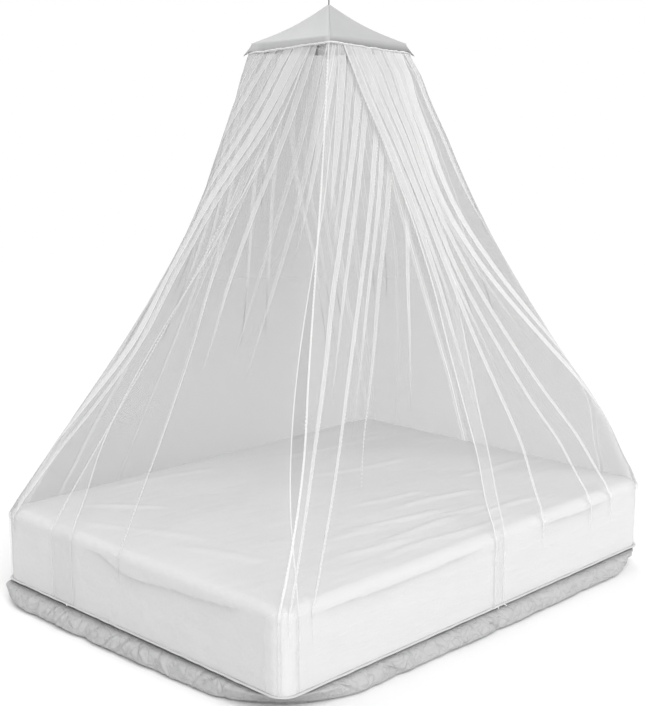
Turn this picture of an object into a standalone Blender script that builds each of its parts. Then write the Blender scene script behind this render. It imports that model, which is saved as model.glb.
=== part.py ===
"""Mosquito net canopy hung over a mattress, for Blender 4.5.

A grey four-gore cap on a square spreader carries four sheer net panels. The net fans out
over the edges of the mattress, goes down its sides and ends in a grey tuck-in skirt.

Frame: metres, +Z up, origin on the floor under the middle of the mattress. +X is the
mattress's right side, -Y its foot. A place around the canopy is counted in sides: 0 is the
left foot corner, 1 the right foot corner, 2 the right head corner and 3 the left head
corner, so 0.5 is the middle of the foot.
"""
import math

import bmesh
import bpy

# ---------------------------------------------------------------- driving dimensions
MATTRESS_WIDTH = 1.50
MATTRESS_LENGTH = 2.00
MATTRESS_THICKNESS = 0.262
MATTRESS_CORNER = 0.050        # radius of the mattress's upright corners
MATTRESS_EDGE = 0.034          # radius of its top and bottom edges
BASE_HEIGHT = 0.093            # floor to mattress
BASE_INSET = 0.160             # plinth, in from the mattress's sides
BASE_CORNER = 0.050

RIM_SHIFT = (-0.016, -0.016)   # middle of the cap, off the middle of the mattress
FRAME_HEIGHT = 2.042           # middle of the spreader's wire
FRAME_HALF = 0.2003
FRAME_CORNER = 0.0235
FRAME_WIRE = 0.004             # radius
FRAME_LIFT = 0.018             # how far the frame is pulled up at the right foot corner

CAP_TIP_HEIGHT = 2.190
CAP_HALF = 0.205               # half of the cap's side, over the frame
CAP_CORNER = 0.026
TIP_CORNER = 0.008             # extra roundness of the cap towards its tip
CAP_CLOTH = 0.0012
CAP_SAG = 0.012                # dip of the gores between tip and frame
TIP_HOLE = 0.006               # half width of the opening at the tip, where the hook comes out
CAP_SHOULDER = 0.0022          # cap's outer face over the frame's wire
GORE_INSET = 0.00025           # half of the gap between neighbouring gores

RIM_HEIGHT = 2.012             # top of the net
RIM_HALF = 0.210
RIM_CORNER = 0.026
RIM_LIFT = 0.030               # how far the rim is pulled up at the right foot corner
RIM_LIFT_FADE = 0.25           # way down the net at which that has gone
BINDING_HEIGHT = 0.0045
RIM_BINDING = (-0.003, 0.0125)     # inner and outer face, off the rim
SEAM_BINDING = (0.0020, 0.0115)    # inner and outer face, off the mattress's side

NET_CLOTH = 0.0015
NET_CLEAR = 0.0042             # net's outer face to the mattress's side, innermost panel
NET_ROUND = 0.10               # corner radius of the tent half-way down
EDGE_DROP = 0.020              # where the net meets the mattress, below its top
SEAM_HEIGHT = 0.084            # bottom of the net
SEAM_GAP = 0.0003              # between pieces sewn edge to edge

SKIRT_CLOTH = 0.0018
SKIRT_WAVE = 0.004
TIE_CORD = 0.0016
HOOK_WIRE = 0.0020
HOOK_RING = 0.0085             # radius of the ring under the tip
HOOK_RING_DROP = 0.0128        # ring below the tip
HOOK_STEM = 0.028              # stem above the tip
HOOK_BEND = 0.010

MATTRESS_TOP = BASE_HEIGHT + SEAM_GAP + MATTRESS_THICKNESS
EDGE_HEIGHT = MATTRESS_TOP - EDGE_DROP

# Inward bow of the tent's wall, as a share of its spread: place around the canopy, bow.
UPPER_BOW = ((0.0, 0.095), (0.5, 0.080), (1.0, 0.050), (1.5, 0.055),
             (2.0, 0.075), (2.5, 0.060), (3.0, 0.050), (3.5, 0.075), (4.0, 0.095))
LOWER_BOW = ((0.0, 0.042), (0.5, 0.015), (1.0, 0.010), (1.5, 0.010),
             (2.0, 0.005), (2.5, 0.010), (3.0, 0.010), (3.5, 0.015), (4.0, 0.042))

# Gap between neighbouring panels where they lie over one another: way down, gap.
LAYER_GAP = ((0.0, 0.0040), (0.06, 0.014), (0.20, 0.024), (0.80, 0.022),
             (0.96, 0.008), (1.0, 0.0030), (2.0, 0.0030))

# Ways down the net at which its section is set: 0 rim, 1 mattress edge, 2 seam.
NET_ROWS = (0.0, 0.03, 0.09, 0.18, 0.29, 0.41, 0.53, 0.65, 0.77, 0.88, 0.96, 1.0, 1.12, 2.0)

# Folds of each panel, in order around the canopy.
# rim, edge: places where a fold starts and ends; rim_w, edge_w: its width there;
# rise: how far it stands out; end: way down at which it has faded.
FOLD_COLUMNS = ("rim", "edge", "rim_w", "edge_w", "rise", "end")
FOOT_FOLDS = (
    (0.40, 0.200, 0.012, 0.012, 0.003, 2.0),
    (0.49, 0.330, 0.022, 0.020, 0.009, 0.70),
    (0.61, 0.465, 0.022, 0.014, 0.011, 1.0),
    (0.72, 0.600, 0.020, 0.020, 0.007, 0.50),
    (0.82, 0.700, 0.022, 0.020, 0.009, 0.70),
    (0.93, 0.830, 0.022, 0.020, 0.007, 0.45),
    (1.04, 0.960, 0.020, 0.012, 0.010, 1.0),
    (1.115, 1.036, 0.012, 0.012, 0.003, 2.0),
)
SIDE_FOLDS = (
    (0.98, 0.985, 0.012, 0.012, 0.003, 2.0),
    (1.12, 1.015, 0.022, 0.012, 0.011, 1.0),
    (1.28, 1.050, 0.026, 0.012, 0.012, 1.0),
    (1.43, 1.100, 0.022, 0.014, 0.009, 1.0),
    (1.56, 1.180, 0.022, 0.018, 0.009, 0.80),
    (1.69, 1.330, 0.020, 0.020, 0.007, 0.55),
    (1.80, 1.450, 0.020, 0.018, 0.007, 0.60),
    (1.88, 1.545, 0.012, 0.012, 0.003, 2.0),
)
HEAD_FOLDS = (
    (1.094, 1.515, 0.012, 0.012, 0.003, 2.0),
    (1.18, 1.535, 0.026, 0.014, 0.012, 1.0),
    (1.29, 1.560, 0.026, 0.014, 0.012, 1.0),
    (1.40, 1.640, 0.024, 0.016, 0.010, 1.0),
    (1.51, 1.740, 0.024, 0.016, 0.010, 1.0),
    (1.62, 1.830, 0.024, 0.016, 0.010, 1.0),
    (1.73, 1.900, 0.024, 0.016, 0.012, 1.0),
    (1.84, 1.960, 0.026, 0.018, 0.012, 1.0),
    (1.97, 2.010, 0.026, 0.018, 0.012, 1.0),
    (2.12, 2.080, 0.024, 0.018, 0.010, 0.9),
    (2.27, 2.220, 0.022, 0.020, 0.008, 0.7),
    (2.42, 2.420, 0.022, 0.020, 0.008, 0.7),
    (2.56, 2.600, 0.012, 0.012, 0.003, 2.0),
)
LEFT_FOLDS = (
    (2.563, 2.602, 0.012, 0.012, 0.003, 2.0),
    (2.70, 2.760, 0.022, 0.020, 0.008, 0.7),
    (2.84, 2.900, 0.024, 0.018, 0.010, 0.9),
    (3.00, 3.000, 0.026, 0.016, 0.012, 1.0),
    (3.16, 3.090, 0.024, 0.018, 0.010, 0.9),
    (3.32, 3.260, 0.022, 0.020, 0.008, 0.7),
    (3.48, 3.470, 0.022, 0.020, 0.008, 0.7),
    (3.64, 3.680, 0.022, 0.020, 0.008, 0.7),
    (3.80, 3.850, 0.024, 0.018, 0.010, 0.9),
    (3.95, 3.940, 0.024, 0.018, 0.012, 1.0),
    (4.10, 3.990, 0.024, 0.018, 0.012, 1.0),
    (4.25, 4.020, 0.026, 0.016, 0.012, 1.0),
    (4.39, 4.060, 0.028, 0.016, 0.012, 1.0),
    (4.52, 4.110, 0.026, 0.016, 0.012, 1.0),
    (4.64, 4.190, 0.024, 0.014, 0.010, 1.0),
    (4.739, 4.288, 0.012, 0.012, 0.003, 2.0),
)
# Panel, its folds, and its layer over the innermost panel at its first and last hem.
NET_PANELS = (
    ("net_panel_foot", FOOT_FOLDS, 0.0, 0.0),
    ("net_panel_side", SIDE_FOLDS, 1.0, 1.0),
    ("net_panel_head", HEAD_FOLDS, 2.0, 1.0),
    ("net_panel_left", LEFT_FOLDS, 1.0, 1.0),
)

# Extra columns where the net turns a corner: places off the corner, at the rim and at the
# mattress's edge.
RIM_MARKS = (-0.11, -0.05, -0.02, 0.02, 0.05, 0.11)
EDGE_MARKS = (-0.07, -0.026, -0.013, 0.0, 0.013, 0.026, 0.07)

# Cap below its shoulder: height over the frame's middle, outward from the frame.
VALANCE = ((0.0036, 0.0004), (-0.0060, 0.0022), (-0.0150, 0.0050), (-0.0245, 0.0080))
VALANCE_FLARE = 0.024          # how much further its hem stands out at all corners but one
VALANCE_DROP = 0.014           # and how much lower it hangs there
FLARE_WIDTH = 0.16             # sides from a corner to where the flare ends
FLARED_CORNERS = (0, 2, 3)
CAP_SPREADS = (0.10, 0.25, 0.45, 0.65, 0.82, 0.94)
GORE_PLACES = (0.0, 0.02, 0.045, 0.075, 0.16, 0.32, 0.5, 0.68, 0.84, 0.925, 0.955, 0.98, 1.0)

# Skirt section, from its seam to its inner edge on the floor: height, how far it stands
# out from the mattress at foot and head and along the sides, and its corner radius.
SKIRT_COLUMNS = ("height", "out_end", "out_side", "corner")
SEAM_OUT = 0.0090
SKIRT_SECTION = (
    (0.0774, SEAM_OUT, SEAM_OUT, 0.058),
    (0.0690, 0.0260, 0.0200, 0.095),
    (0.0480, 0.0500, 0.0380, 0.220),
    (0.0240, 0.0600, 0.0450, 0.280),
    (0.0100, 0.0530, 0.0390, 0.300),
    (0.0035, 0.0320, 0.0200, 0.300),
    (0.0000, -0.0250, -0.0250, 0.270),
    (0.0000, 0.0005 - BASE_INSET, 0.0005 - BASE_INSET, 0.5 * BASE_CORNER),
)
SKIRT_ROLL = (1, 5)            # first and last row of the part that hangs free
# How far the roll stands out around the canopy, and how much rounder its corners are.
SKIRT_REACH = ((0.0, 1.0), (0.3, 1.0), (0.55, 0.85), (0.8, 0.55), (1.0, 0.45), (1.25, 0.7),
               (1.5, 1.0), (2.7, 1.0), (3.0, 0.8), (3.5, 1.0), (4.0, 1.0))
SKIRT_ROUND = ((0.0, 0.7), (0.5, 1.0), (1.0, 1.35), (1.5, 1.0), (2.0, 1.0), (3.5, 1.0),
               (4.0, 0.7))
# Creases of the skirt: place, width, depth.
SKIRT_CREASES = (
    (0.16, 0.05, 0.010), (0.36, 0.07, 0.016), (0.62, 0.06, 0.014),
    (0.86, 0.05, 0.010), (1.24, 0.04, 0.012), (1.52, 0.06, 0.012),
    (1.78, 0.05, 0.010), (2.30, 0.06, 0.012), (2.60, 0.057, 0.012),
    (3.22, 0.06, 0.012), (3.52, 0.06, 0.012), (3.80, 0.05, 0.010),
)

# Free ends of the seam's ties: name, place, route as steps along the seam, outward from the
# binding, and height.
TIES = (
    ("side_tie_loop", 1.520, ((-0.010, 0.0, 0.0815), (-0.004, 0.004, 0.0865),
                              (0.004, 0.005, 0.0860), (0.009, 0.003, 0.0810),
                              (0.006, 0.004, 0.0760))),
    ("side_tie_end", 1.545, ((-0.004, 0.0, 0.0818), (-0.001, 0.003, 0.0805),
                             (0.004, 0.006, 0.0760))),
    ("foot_tie_end", 0.262, ((0.000, 0.0, 0.0815), (0.003, 0.003, 0.0850),
                             (0.008, 0.004, 0.0800))),
)

CORNERS = ((-1, -1), (1, -1), (1, 1), (-1, 1))
ALONG = ((1, 0), (0, 1), (-1, 0), (0, -1))


# ---------------------------------------------------------------- geometry helpers
def mix(a, b, t):
    """Value between a and b."""
    return a + (b - a) * t


def between(table, x):
    """Value of a two-column table at x, smoothly between its rows."""
    for (x0, y0), (x1, y1) in zip(table, table[1:]):
        if x <= x1:
            t = max(0.0, (x - x0) / (x1 - x0))
            return mix(y0, y1, t * t * (3 - 2 * t))
    return table[-1][1]


def around(place, half_x, half_y, radius):
    """Point and outward normal at a place on a rounded rectangle."""
    side = math.floor(place) % 4
    corner, along = CORNERS[side], ALONG[side]
    normal = (along[1], -along[0])
    half = half_x if along[0] else half_y
    arc = math.pi * radius / 4
    straight = 2 * half - 2 * radius
    run = (place - math.floor(place)) * (straight + 2 * arc)
    start = (corner[0] * half_x + (along[0] - normal[0]) * radius,
             corner[1] * half_y + (along[1] - normal[1]) * radius)
    if run < arc:
        turn, shift = -math.pi / 4 * (1 - run / arc), 0.0
    elif run > straight + arc:
        turn, shift = math.pi / 4 * (run - straight - arc) / arc, straight
    else:
        turn, shift = 0.0, run - arc
    facing = (normal[0] * math.cos(turn) - normal[1] * math.sin(turn),
              normal[0] * math.sin(turn) + normal[1] * math.cos(turn))
    return ((start[0] + along[0] * shift + facing[0] * radius,
             start[1] + along[1] * shift + facing[1] * radius), facing)


def side_length(side, half_x, half_y, radius):
    """Length of one side of a rounded rectangle, from corner to corner."""
    half = half_x if ALONG[side % 4][0] else half_y
    return 2 * half - 2 * radius + math.pi * radius / 2


def at_rim(place, half, radius):
    """Point and outward normal at a place on a rounded square around the cap's middle."""
    (x, y), facing = around(place, half, half, radius)
    return (x + RIM_SHIFT[0], y + RIM_SHIFT[1]), facing


def raised(x, y, lift):
    """Height that a point near the rim gains from the lift at the right foot corner."""
    share = (x - RIM_SHIFT[0] - y + RIM_SHIFT[1]) / (2 * RIM_HALF)
    return lift * max(0.0, share) ** 1.25


def flare(where):
    """How much the valance flares at a place around it: 1 at a corner that does."""
    off = min(abs((where - corner + 2) % 4 - 2) for corner in FLARED_CORNERS)
    return math.cos(math.pi / 2 * min(1.0, off / FLARE_WIDTH)) ** 2


# ---------------------------------------------------------------- the tent's wall
def hump(down, early, late):
    """Rise to 1 and fall back to 0 on the way down."""
    peak = early / (early + late)
    return (down / peak) ** early * ((1 - down) / (1 - peak)) ** late


def wall_section(down, place):
    """Half sizes, corner radius and height of the tent's wall at a way down."""
    edge_x = MATTRESS_WIDTH / 2
    edge_y = MATTRESS_LENGTH / 2
    if down > 1.0:
        return (edge_x + NET_CLEAR, edge_y + NET_CLEAR, MATTRESS_CORNER + NET_CLEAR,
                mix(EDGE_HEIGHT, SEAM_HEIGHT, down - 1.0))
    spread = (down - between(UPPER_BOW, place % 4) * hump(down, 1.2, 2.4)
              - between(LOWER_BOW, place % 4) * hump(down, 2.5, 1.2))
    swell = 4 * down * (1 - down) * (NET_ROUND - MATTRESS_CORNER)
    clear = NET_CLEAR * down
    return (mix(RIM_HALF, edge_x, spread) + clear,
            mix(RIM_HALF, edge_y, spread) + clear,
            mix(RIM_CORNER, MATTRESS_CORNER, down) + swell + clear,
            mix(RIM_HEIGHT, EDGE_HEIGHT, down))


def straight_side(side, down):
    """Length of one side of the tent at a way down, before its wall bows in."""
    rim = side_length(side, RIM_HALF, RIM_HALF, RIM_CORNER)
    edge = side_length(side, MATTRESS_WIDTH / 2, MATTRESS_LENGTH / 2, MATTRESS_CORNER)
    return mix(rim, edge, min(down, 1.0))


def fold_place(fold, down, shift=0.0):
    """Place around the canopy of a fold's line, moved by a width, at a way down."""
    corner = round(fold["edge"])
    rim_side = corner if fold["rim"] >= corner else corner - 1
    edge_side = corner if fold["edge"] >= corner else corner - 1
    at_rim = (fold["rim"] - corner) * straight_side(rim_side, 0.0)
    at_edge = (fold["edge"] - corner) * straight_side(edge_side, 1.0)
    run = mix(at_rim, at_edge, min(down, 1.0)) + shift
    side = corner if run >= 0 else corner - 1
    return corner + run / straight_side(side, down)


def wall_point(place, down, lift):
    """Point of the tent's wall, lifted outward."""
    half_x, half_y, radius, height = wall_section(down, place)
    (x, y), _ = around(place, half_x + lift, half_y + lift, radius + lift)
    above = 1.0 - min(down, 1.0)
    x += RIM_SHIFT[0] * above
    y += RIM_SHIFT[1] * above
    lift = RIM_LIFT * max(0.0, 1.0 - down / RIM_LIFT_FADE) ** 2
    return (x, y, height + raised(x, y, lift))


def fold_profile(first, last):
    """Stations across a fold: position as a share of its width, share of its rise."""
    if first:
        return ((0.0, 1.0), (0.5, 1.0), (1.0, 0.0))
    if last:
        return ((-1.0, 0.0), (-0.5, 1.0), (0.0, 1.0))
    return ((-0.5, 0.0), (0.0, 1.0), (0.5, 0.0))


def fold_rise(fold, down):
    """How far a fold stands out at a way down."""
    grow = min(1.0, 0.25 + down / 0.12)
    most = 0.45 * between(LAYER_GAP, down)
    if fold["end"] > 1.0:
        return min(fold["rise"] * grow, 0.3 * most)
    fade = max(0.0, 1.0 - down / fold["end"])
    return min(fold["rise"] * grow * min(1.0, 2.5 * fade), most)


def station_places(station):
    """Places of a station along the rim and along the mattress's edge."""
    fold, across, share = station
    return (fold["rim"] + across * fold["rim_w"] / (2 * RIM_HALF),
            fold["edge"] + across * fold["edge_w"] / MATTRESS_LENGTH)


def plain_columns(before, after):
    """Plain columns between two stations where the net turns a corner."""
    ends = station_places(before), station_places(after)
    shares = []
    for at, marks in enumerate((RIM_MARKS, EDGE_MARKS)):
        low, high = ends[0][at], ends[1][at]
        corner = round((low + high) / 2)
        shares += [(corner + mark - low) / (high - low) for mark in marks]
    made, last = [], 0.0
    for part in sorted(shares):
        if last + 0.1 < part < 0.9:
            rim, edge = (mix(a, b, part) for a, b in zip(*ends))
            made.append((dict(zip(FOLD_COLUMNS, (rim, edge, 0, 0, 0, 1.0))), 0.0, 0.0))
            last = part
    return made


def net_stations(folds):
    """Columns of a panel: the fold, the share of its width and the share of its rise."""
    rows = [dict(zip(FOLD_COLUMNS, row)) for row in folds]
    stations = []
    for index, fold in enumerate(rows):
        for across, share in fold_profile(index == 0, index == len(rows) - 1):
            station = (fold, across, share)
            if stations:
                stations += plain_columns(stations[-1], station)
            stations.append(station)
    return stations


# ---------------------------------------------------------------- Blender helpers
def material(name, colour, roughness, metallic=0.0, alpha=1.0):
    """Plain Principled material."""
    made = bpy.data.materials.new(name)
    made.use_nodes = True
    shader = made.node_tree.nodes["Principled BSDF"]
    shader.inputs["Base Color"].default_value = (*colour, 1.0)
    shader.inputs["Roughness"].default_value = roughness
    shader.inputs["Metallic"].default_value = metallic
    shader.inputs["Alpha"].default_value = alpha
    return made


def add_object(name, data, look, collection):
    """Named object in the canopy's collection with its own material."""
    made = bpy.data.objects.new(name, data)
    data.materials.append(look)
    collection.objects.link(made)
    return made


def sheet(name, columns, rows, place, thickness, look, collection, ring=False):
    """Cloth: a grid whose vertices are placed by a function, then given its thickness.

    place(column, row) gives a point; rows run from the top down, columns around.
    """
    shape = bmesh.new()
    bmesh.ops.create_grid(shape, x_segments=columns - 1, y_segments=rows - 1, size=1.0)
    for vertex in shape.verts:
        column = round((vertex.co.x + 1) / 2 * (columns - 1))
        row = rows - 1 - round((vertex.co.y + 1) / 2 * (rows - 1))
        vertex.co = place(column, row)
    if ring:
        bmesh.ops.remove_doubles(shape, verts=shape.verts, dist=0.00001)
    mesh = bpy.data.meshes.new(name)
    shape.to_mesh(mesh)
    shape.free()
    mesh.shade_smooth()
    made = add_object(name, mesh, look, collection)
    wall = made.modifiers.new("thickness", "SOLIDIFY")
    wall.thickness = thickness
    wall.offset = -1.0
    wall.use_rim = True
    return made


def tube(name, points, radius, look, collection, closed=False):
    """Wire or cord through points."""
    curve = bpy.data.curves.new(name, "CURVE")
    curve.dimensions = "3D"
    curve.bevel_depth = radius
    curve.bevel_resolution = 2
    curve.use_fill_caps = not closed
    spline = curve.splines.new("POLY")
    spline.points.add(len(points) - 1)
    for point, co in zip(spline.points, points):
        point.co = (*co, 1.0)
    spline.use_cyclic_u = closed
    return add_object(name, curve, look, collection)


def rounded_block(name, size, bottom, corner, edge, look, collection):
    """Box with rounded upright corners and softer top and bottom edges."""
    shape = bmesh.new()
    bmesh.ops.create_cube(shape, size=1.0)
    for vertex in shape.verts:
        vertex.co.x *= size[0]
        vertex.co.y *= size[1]
        vertex.co.z = bottom + (vertex.co.z + 0.5) * size[2]
    upright = [e for e in shape.edges if abs(e.verts[0].co.z - e.verts[1].co.z) > size[2] / 2]
    bmesh.ops.bevel(shape, geom=upright, offset=corner, segments=6, affect="EDGES",
                    profile=0.5)
    if edge:
        level = [e for e in shape.edges
                 if abs(e.verts[0].co.z - e.verts[1].co.z) < edge / 2
                 and len([f for f in e.link_faces if abs(f.normal.z) > 0.9]) == 1]
        bmesh.ops.bevel(shape, geom=level, offset=edge, segments=4, affect="EDGES",
                        profile=0.5)
    bmesh.ops.recalc_face_normals(shape, faces=shape.faces)
    mesh = bpy.data.meshes.new(name)
    shape.to_mesh(mesh)
    shape.free()
    return add_object(name, mesh, look, collection)


def flat_ring(name, outline, faces, top, lift, look, collection):
    """Flat binding tape that runs around an outline, closed in itself."""
    inner, outer = faces
    section = ((inner, top), (outer, top), (outer, top - BINDING_HEIGHT),
               (inner, top - BINDING_HEIGHT))
    places = ring_places()
    shape = bmesh.new()
    bmesh.ops.create_grid(shape, x_segments=len(places) - 1, y_segments=4, size=1.0)
    for vertex in shape.verts:
        column = round((vertex.co.x + 1) / 2 * (len(places) - 1))
        out, height = section[round((vertex.co.y + 1) / 2 * 4) % 4]
        (x, y), facing = outline(places[column])
        x += facing[0] * out
        y += facing[1] * out
        vertex.co = (x, y, height + raised(x, y, lift))
    bmesh.ops.remove_doubles(shape, verts=shape.verts, dist=0.00001)
    bmesh.ops.recalc_face_normals(shape, faces=shape.faces)
    mesh = bpy.data.meshes.new(name)
    shape.to_mesh(mesh)
    shape.free()
    return add_object(name, mesh, look, collection)


def ring_places(straight=4, arc=4):
    """Places all around, closer together near the corners; the last repeats the first."""
    near = [0.012 * step for step in range(arc)]
    places = []
    for side in range(4):
        places += [side + share for share in near]
        places += [side + mix(0.08, 0.92, step / straight) for step in range(straight + 1)]
        places += [side + 1 - share for share in reversed(near[1:])]
    return places + [4.0]


# ---------------------------------------------------------------- the pieces
def make_net_panel(name, folds, first_layer, last_layer, look, collection):
    """Sheer panel that falls from the rim in folds and over the mattress's edge."""
    stations = net_stations(folds)
    start, end = stations[0][0]["edge"], stations[-1][0]["edge"]

    def place(column, row):
        fold, across, share = stations[column]
        down = NET_ROWS[row]
        width = mix(fold["rim_w"], fold["edge_w"], min(down, 1.0))
        where = fold_place(fold, down, across * width)
        past_middle = max(0.0, 2 * (fold["edge"] - start) / (end - start) - 1)
        layer = mix(first_layer, last_layer, past_middle)
        lift = layer * between(LAYER_GAP, down) + share * fold_rise(fold, down)
        return wall_point(where, down, lift)

    return sheet(name, len(stations), len(NET_ROWS), place, NET_CLOTH, look, collection)


def make_cap_gore(name, side, look, collection):
    """One triangular gore of the cap, with its strip of valance below the frame."""
    spreads = (TIP_HOLE / CAP_HALF,) + CAP_SPREADS
    shoulder = FRAME_HEIGHT + FRAME_WIRE + CAP_SHOULDER
    last = len(GORE_PLACES) - 1

    def place(column, row):
        inset = GORE_INSET * ((column == 0) - (column == last))
        where, lift = side + GORE_PLACES[column], FRAME_LIFT
        if row < len(spreads):
            spread, out = spreads[row], 0.0
            dip = CAP_SAG * math.sin(math.pi * spread) * mix(1.4, 1.0, spread)
            height = mix(CAP_TIP_HEIGHT, shoulder, spread) - dip
        else:
            fallen = (row - len(spreads)) / (len(VALANCE) - 1)
            rise, out = VALANCE[row - len(spreads)]
            lift = mix(FRAME_LIFT, RIM_LIFT, fallen)
            out += VALANCE_FLARE * fallen * flare(where)
            low = VALANCE_DROP * fallen * max(0.0, flare(where) - 0.55) / 0.45
            spread, height = 1.0, FRAME_HEIGHT + rise - low
        half = CAP_HALF * spread + out
        corner = min(0.95 * half, mix(TIP_CORNER, CAP_CORNER, spread) + out)
        (x, y), facing = at_rim(where, half, corner)
        return (x - facing[1] * inset, y + facing[0] * inset, height + raised(x, y, lift))

    return sheet(name, len(GORE_PLACES), len(spreads) + len(VALANCE), place, CAP_CLOTH, look,
                 collection)


def make_frame(look, collection):
    """Square wire that spreads the cap."""
    points = []
    for place in ring_places(straight=1)[:-1]:
        (x, y), _ = at_rim(place, FRAME_HALF, FRAME_CORNER)
        points.append((x, y, FRAME_HEIGHT + raised(x, y, FRAME_LIFT)))
    return tube("spreader_frame", points, FRAME_WIRE, look, collection, closed=True)


def make_hook(look, collection):
    """Wire hook: a ring that carries the tip of the cap from inside, a stem and a bend."""
    turns, bends = 10, 8
    low = CAP_TIP_HEIGHT - HOOK_RING_DROP
    points = []
    for step in range(turns + 1):
        turn = math.radians(-60 + 270 * step / turns)
        points.append((HOOK_RING * math.cos(turn), HOOK_RING * math.sin(turn), low))
    points += [(-0.0050, -0.0040, low + 0.0003), (-0.0015, -0.0012, low + 0.0040),
               (0.0, 0.0, low + 0.0090), (0.0, 0.0, CAP_TIP_HEIGHT + HOOK_STEM)]
    for step in range(1, bends + 1):
        turn = math.radians(208 * step / bends)
        reach = HOOK_BEND * (1 - math.cos(turn)) * math.sqrt(0.5)
        points.append((reach, reach, CAP_TIP_HEIGHT + HOOK_STEM + HOOK_BEND * math.sin(turn)))
    moved = [(x + RIM_SHIFT[0], y + RIM_SHIFT[1], z) for x, y, z in points]
    return tube("hanging_hook", moved, HOOK_WIRE, look, collection)


def skirt_places():
    """Places of the skirt's columns: the creases and corners, then even ones between."""
    places = {side + share for side in range(5) for share in (-0.06, -0.025, 0.0, 0.025, 0.06)}
    for crease, width, _ in SKIRT_CREASES:
        places |= {crease - width / 2, crease, crease + width / 2}
    for step in range(1, 20):
        if min(abs(place - step / 5) for place in places) > 0.03:
            places.add(step / 5)
    return sorted(round(place, 3) for place in places if 0.0 <= place <= 4.0)


def make_skirt(look, collection):
    """Grey tuck-in cloth: down from the seam, out in a soft roll, then flat on the floor."""
    section = [dict(zip(SKIRT_COLUMNS, row)) for row in SKIRT_SECTION]
    places = skirt_places()
    first, last = SKIRT_ROLL

    def place(column, row):
        where = places[column] % 4
        at = section[row]
        body = max(0.0, math.sin(math.pi * (min(row, last) - first + 1) / (last - first + 1)))
        out_x, out_y, corner = at["out_side"], at["out_end"], at["corner"]
        if first <= row <= last:
            out_x = mix(SEAM_OUT, out_x, between(SKIRT_REACH, where))
            out_y = mix(SEAM_OUT, out_y, between(SKIRT_REACH, where))
            corner *= between(SKIRT_ROUND, where)
        shrink = SKIRT_WAVE * body * math.sin(7 * math.pi * where) ** 2
        for crease, width, depth in SKIRT_CREASES:
            shrink += depth * body * max(0.0, 1.0 - abs(where - crease) / (width / 2))
        (x, y), facing = around(where, MATTRESS_WIDTH / 2 + out_x, MATTRESS_LENGTH / 2 + out_y,
                                corner)
        return (x - facing[0] * shrink, y - facing[1] * shrink, at["height"])

    return sheet("skirt", len(places), len(section), place, SKIRT_CLOTH, look, collection,
                 ring=True)


def make_tie(name, where, steps, look, collection):
    """Short free end of a tie, just outside the seam's binding."""
    (x, y), facing = around(where, MATTRESS_WIDTH / 2, MATTRESS_LENGTH / 2, MATTRESS_CORNER)
    beside = SEAM_BINDING[1] + TIE_CORD + SEAM_GAP
    route = []
    for along, out, height in steps:
        out += beside
        route.append((x - facing[1] * along + facing[0] * out,
                      y + facing[0] * along + facing[1] * out, height))
    return tube(name, route, TIE_CORD, look, collection)


def build():
    """Clear the scene and make the canopy."""
    for old in list(bpy.data.objects):
        bpy.data.objects.remove(old, do_unlink=True)
    canopy = bpy.data.collections.new("mosquito_net_canopy")
    bpy.context.scene.collection.children.link(canopy)

    net_look = material("sheer_net", (0.92, 0.92, 0.92), 0.75, alpha=0.35)
    for name, folds, first_layer, last_layer in NET_PANELS:
        make_net_panel(name, folds, first_layer, last_layer, net_look.copy(), canopy)

    cap_look = material("cap_cloth", (0.55, 0.56, 0.56), 0.85)
    for side, name in enumerate(("foot", "side", "head", "left")):
        make_cap_gore("cap_gore_" + name, side, cap_look.copy(), canopy)
    make_frame(material("frame_wire", (0.60, 0.60, 0.62), 0.35, 1.0), canopy)
    make_hook(material("hook_wire", (0.10, 0.10, 0.11), 0.35, 1.0), canopy)

    def rim_line(place):
        return at_rim(place, RIM_HALF, RIM_CORNER)

    def seam_line(place):
        return around(place, MATTRESS_WIDTH / 2, MATTRESS_LENGTH / 2, MATTRESS_CORNER)

    binding = material("white_binding", (0.93, 0.93, 0.92), 0.8)
    flat_ring("rim_binding", rim_line, RIM_BINDING, RIM_HEIGHT + SEAM_GAP + BINDING_HEIGHT,
              RIM_LIFT, binding, canopy)
    flat_ring("seam_binding", seam_line, SEAM_BINDING, SEAM_HEIGHT - SEAM_GAP, 0.0,
              binding.copy(), canopy)
    make_skirt(material("skirt_cloth", (0.50, 0.50, 0.50), 0.85), canopy)
    for name, where, steps in TIES:
        make_tie(name, where, steps, material("tie_cord", (0.93, 0.93, 0.92), 0.8), canopy)

    rounded_block("mattress", (MATTRESS_WIDTH, MATTRESS_LENGTH, MATTRESS_THICKNESS),
                  BASE_HEIGHT + SEAM_GAP, MATTRESS_CORNER, MATTRESS_EDGE,
                  material("fitted_sheet", (0.93, 0.93, 0.93), 0.8), canopy)
    rounded_block("mattress_base", (MATTRESS_WIDTH - 2 * BASE_INSET,
                                    MATTRESS_LENGTH - 2 * BASE_INSET, BASE_HEIGHT),
                  0.0, BASE_CORNER, 0.0, material("base_board", (0.30, 0.30, 0.31), 0.7), canopy)


build()
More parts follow.
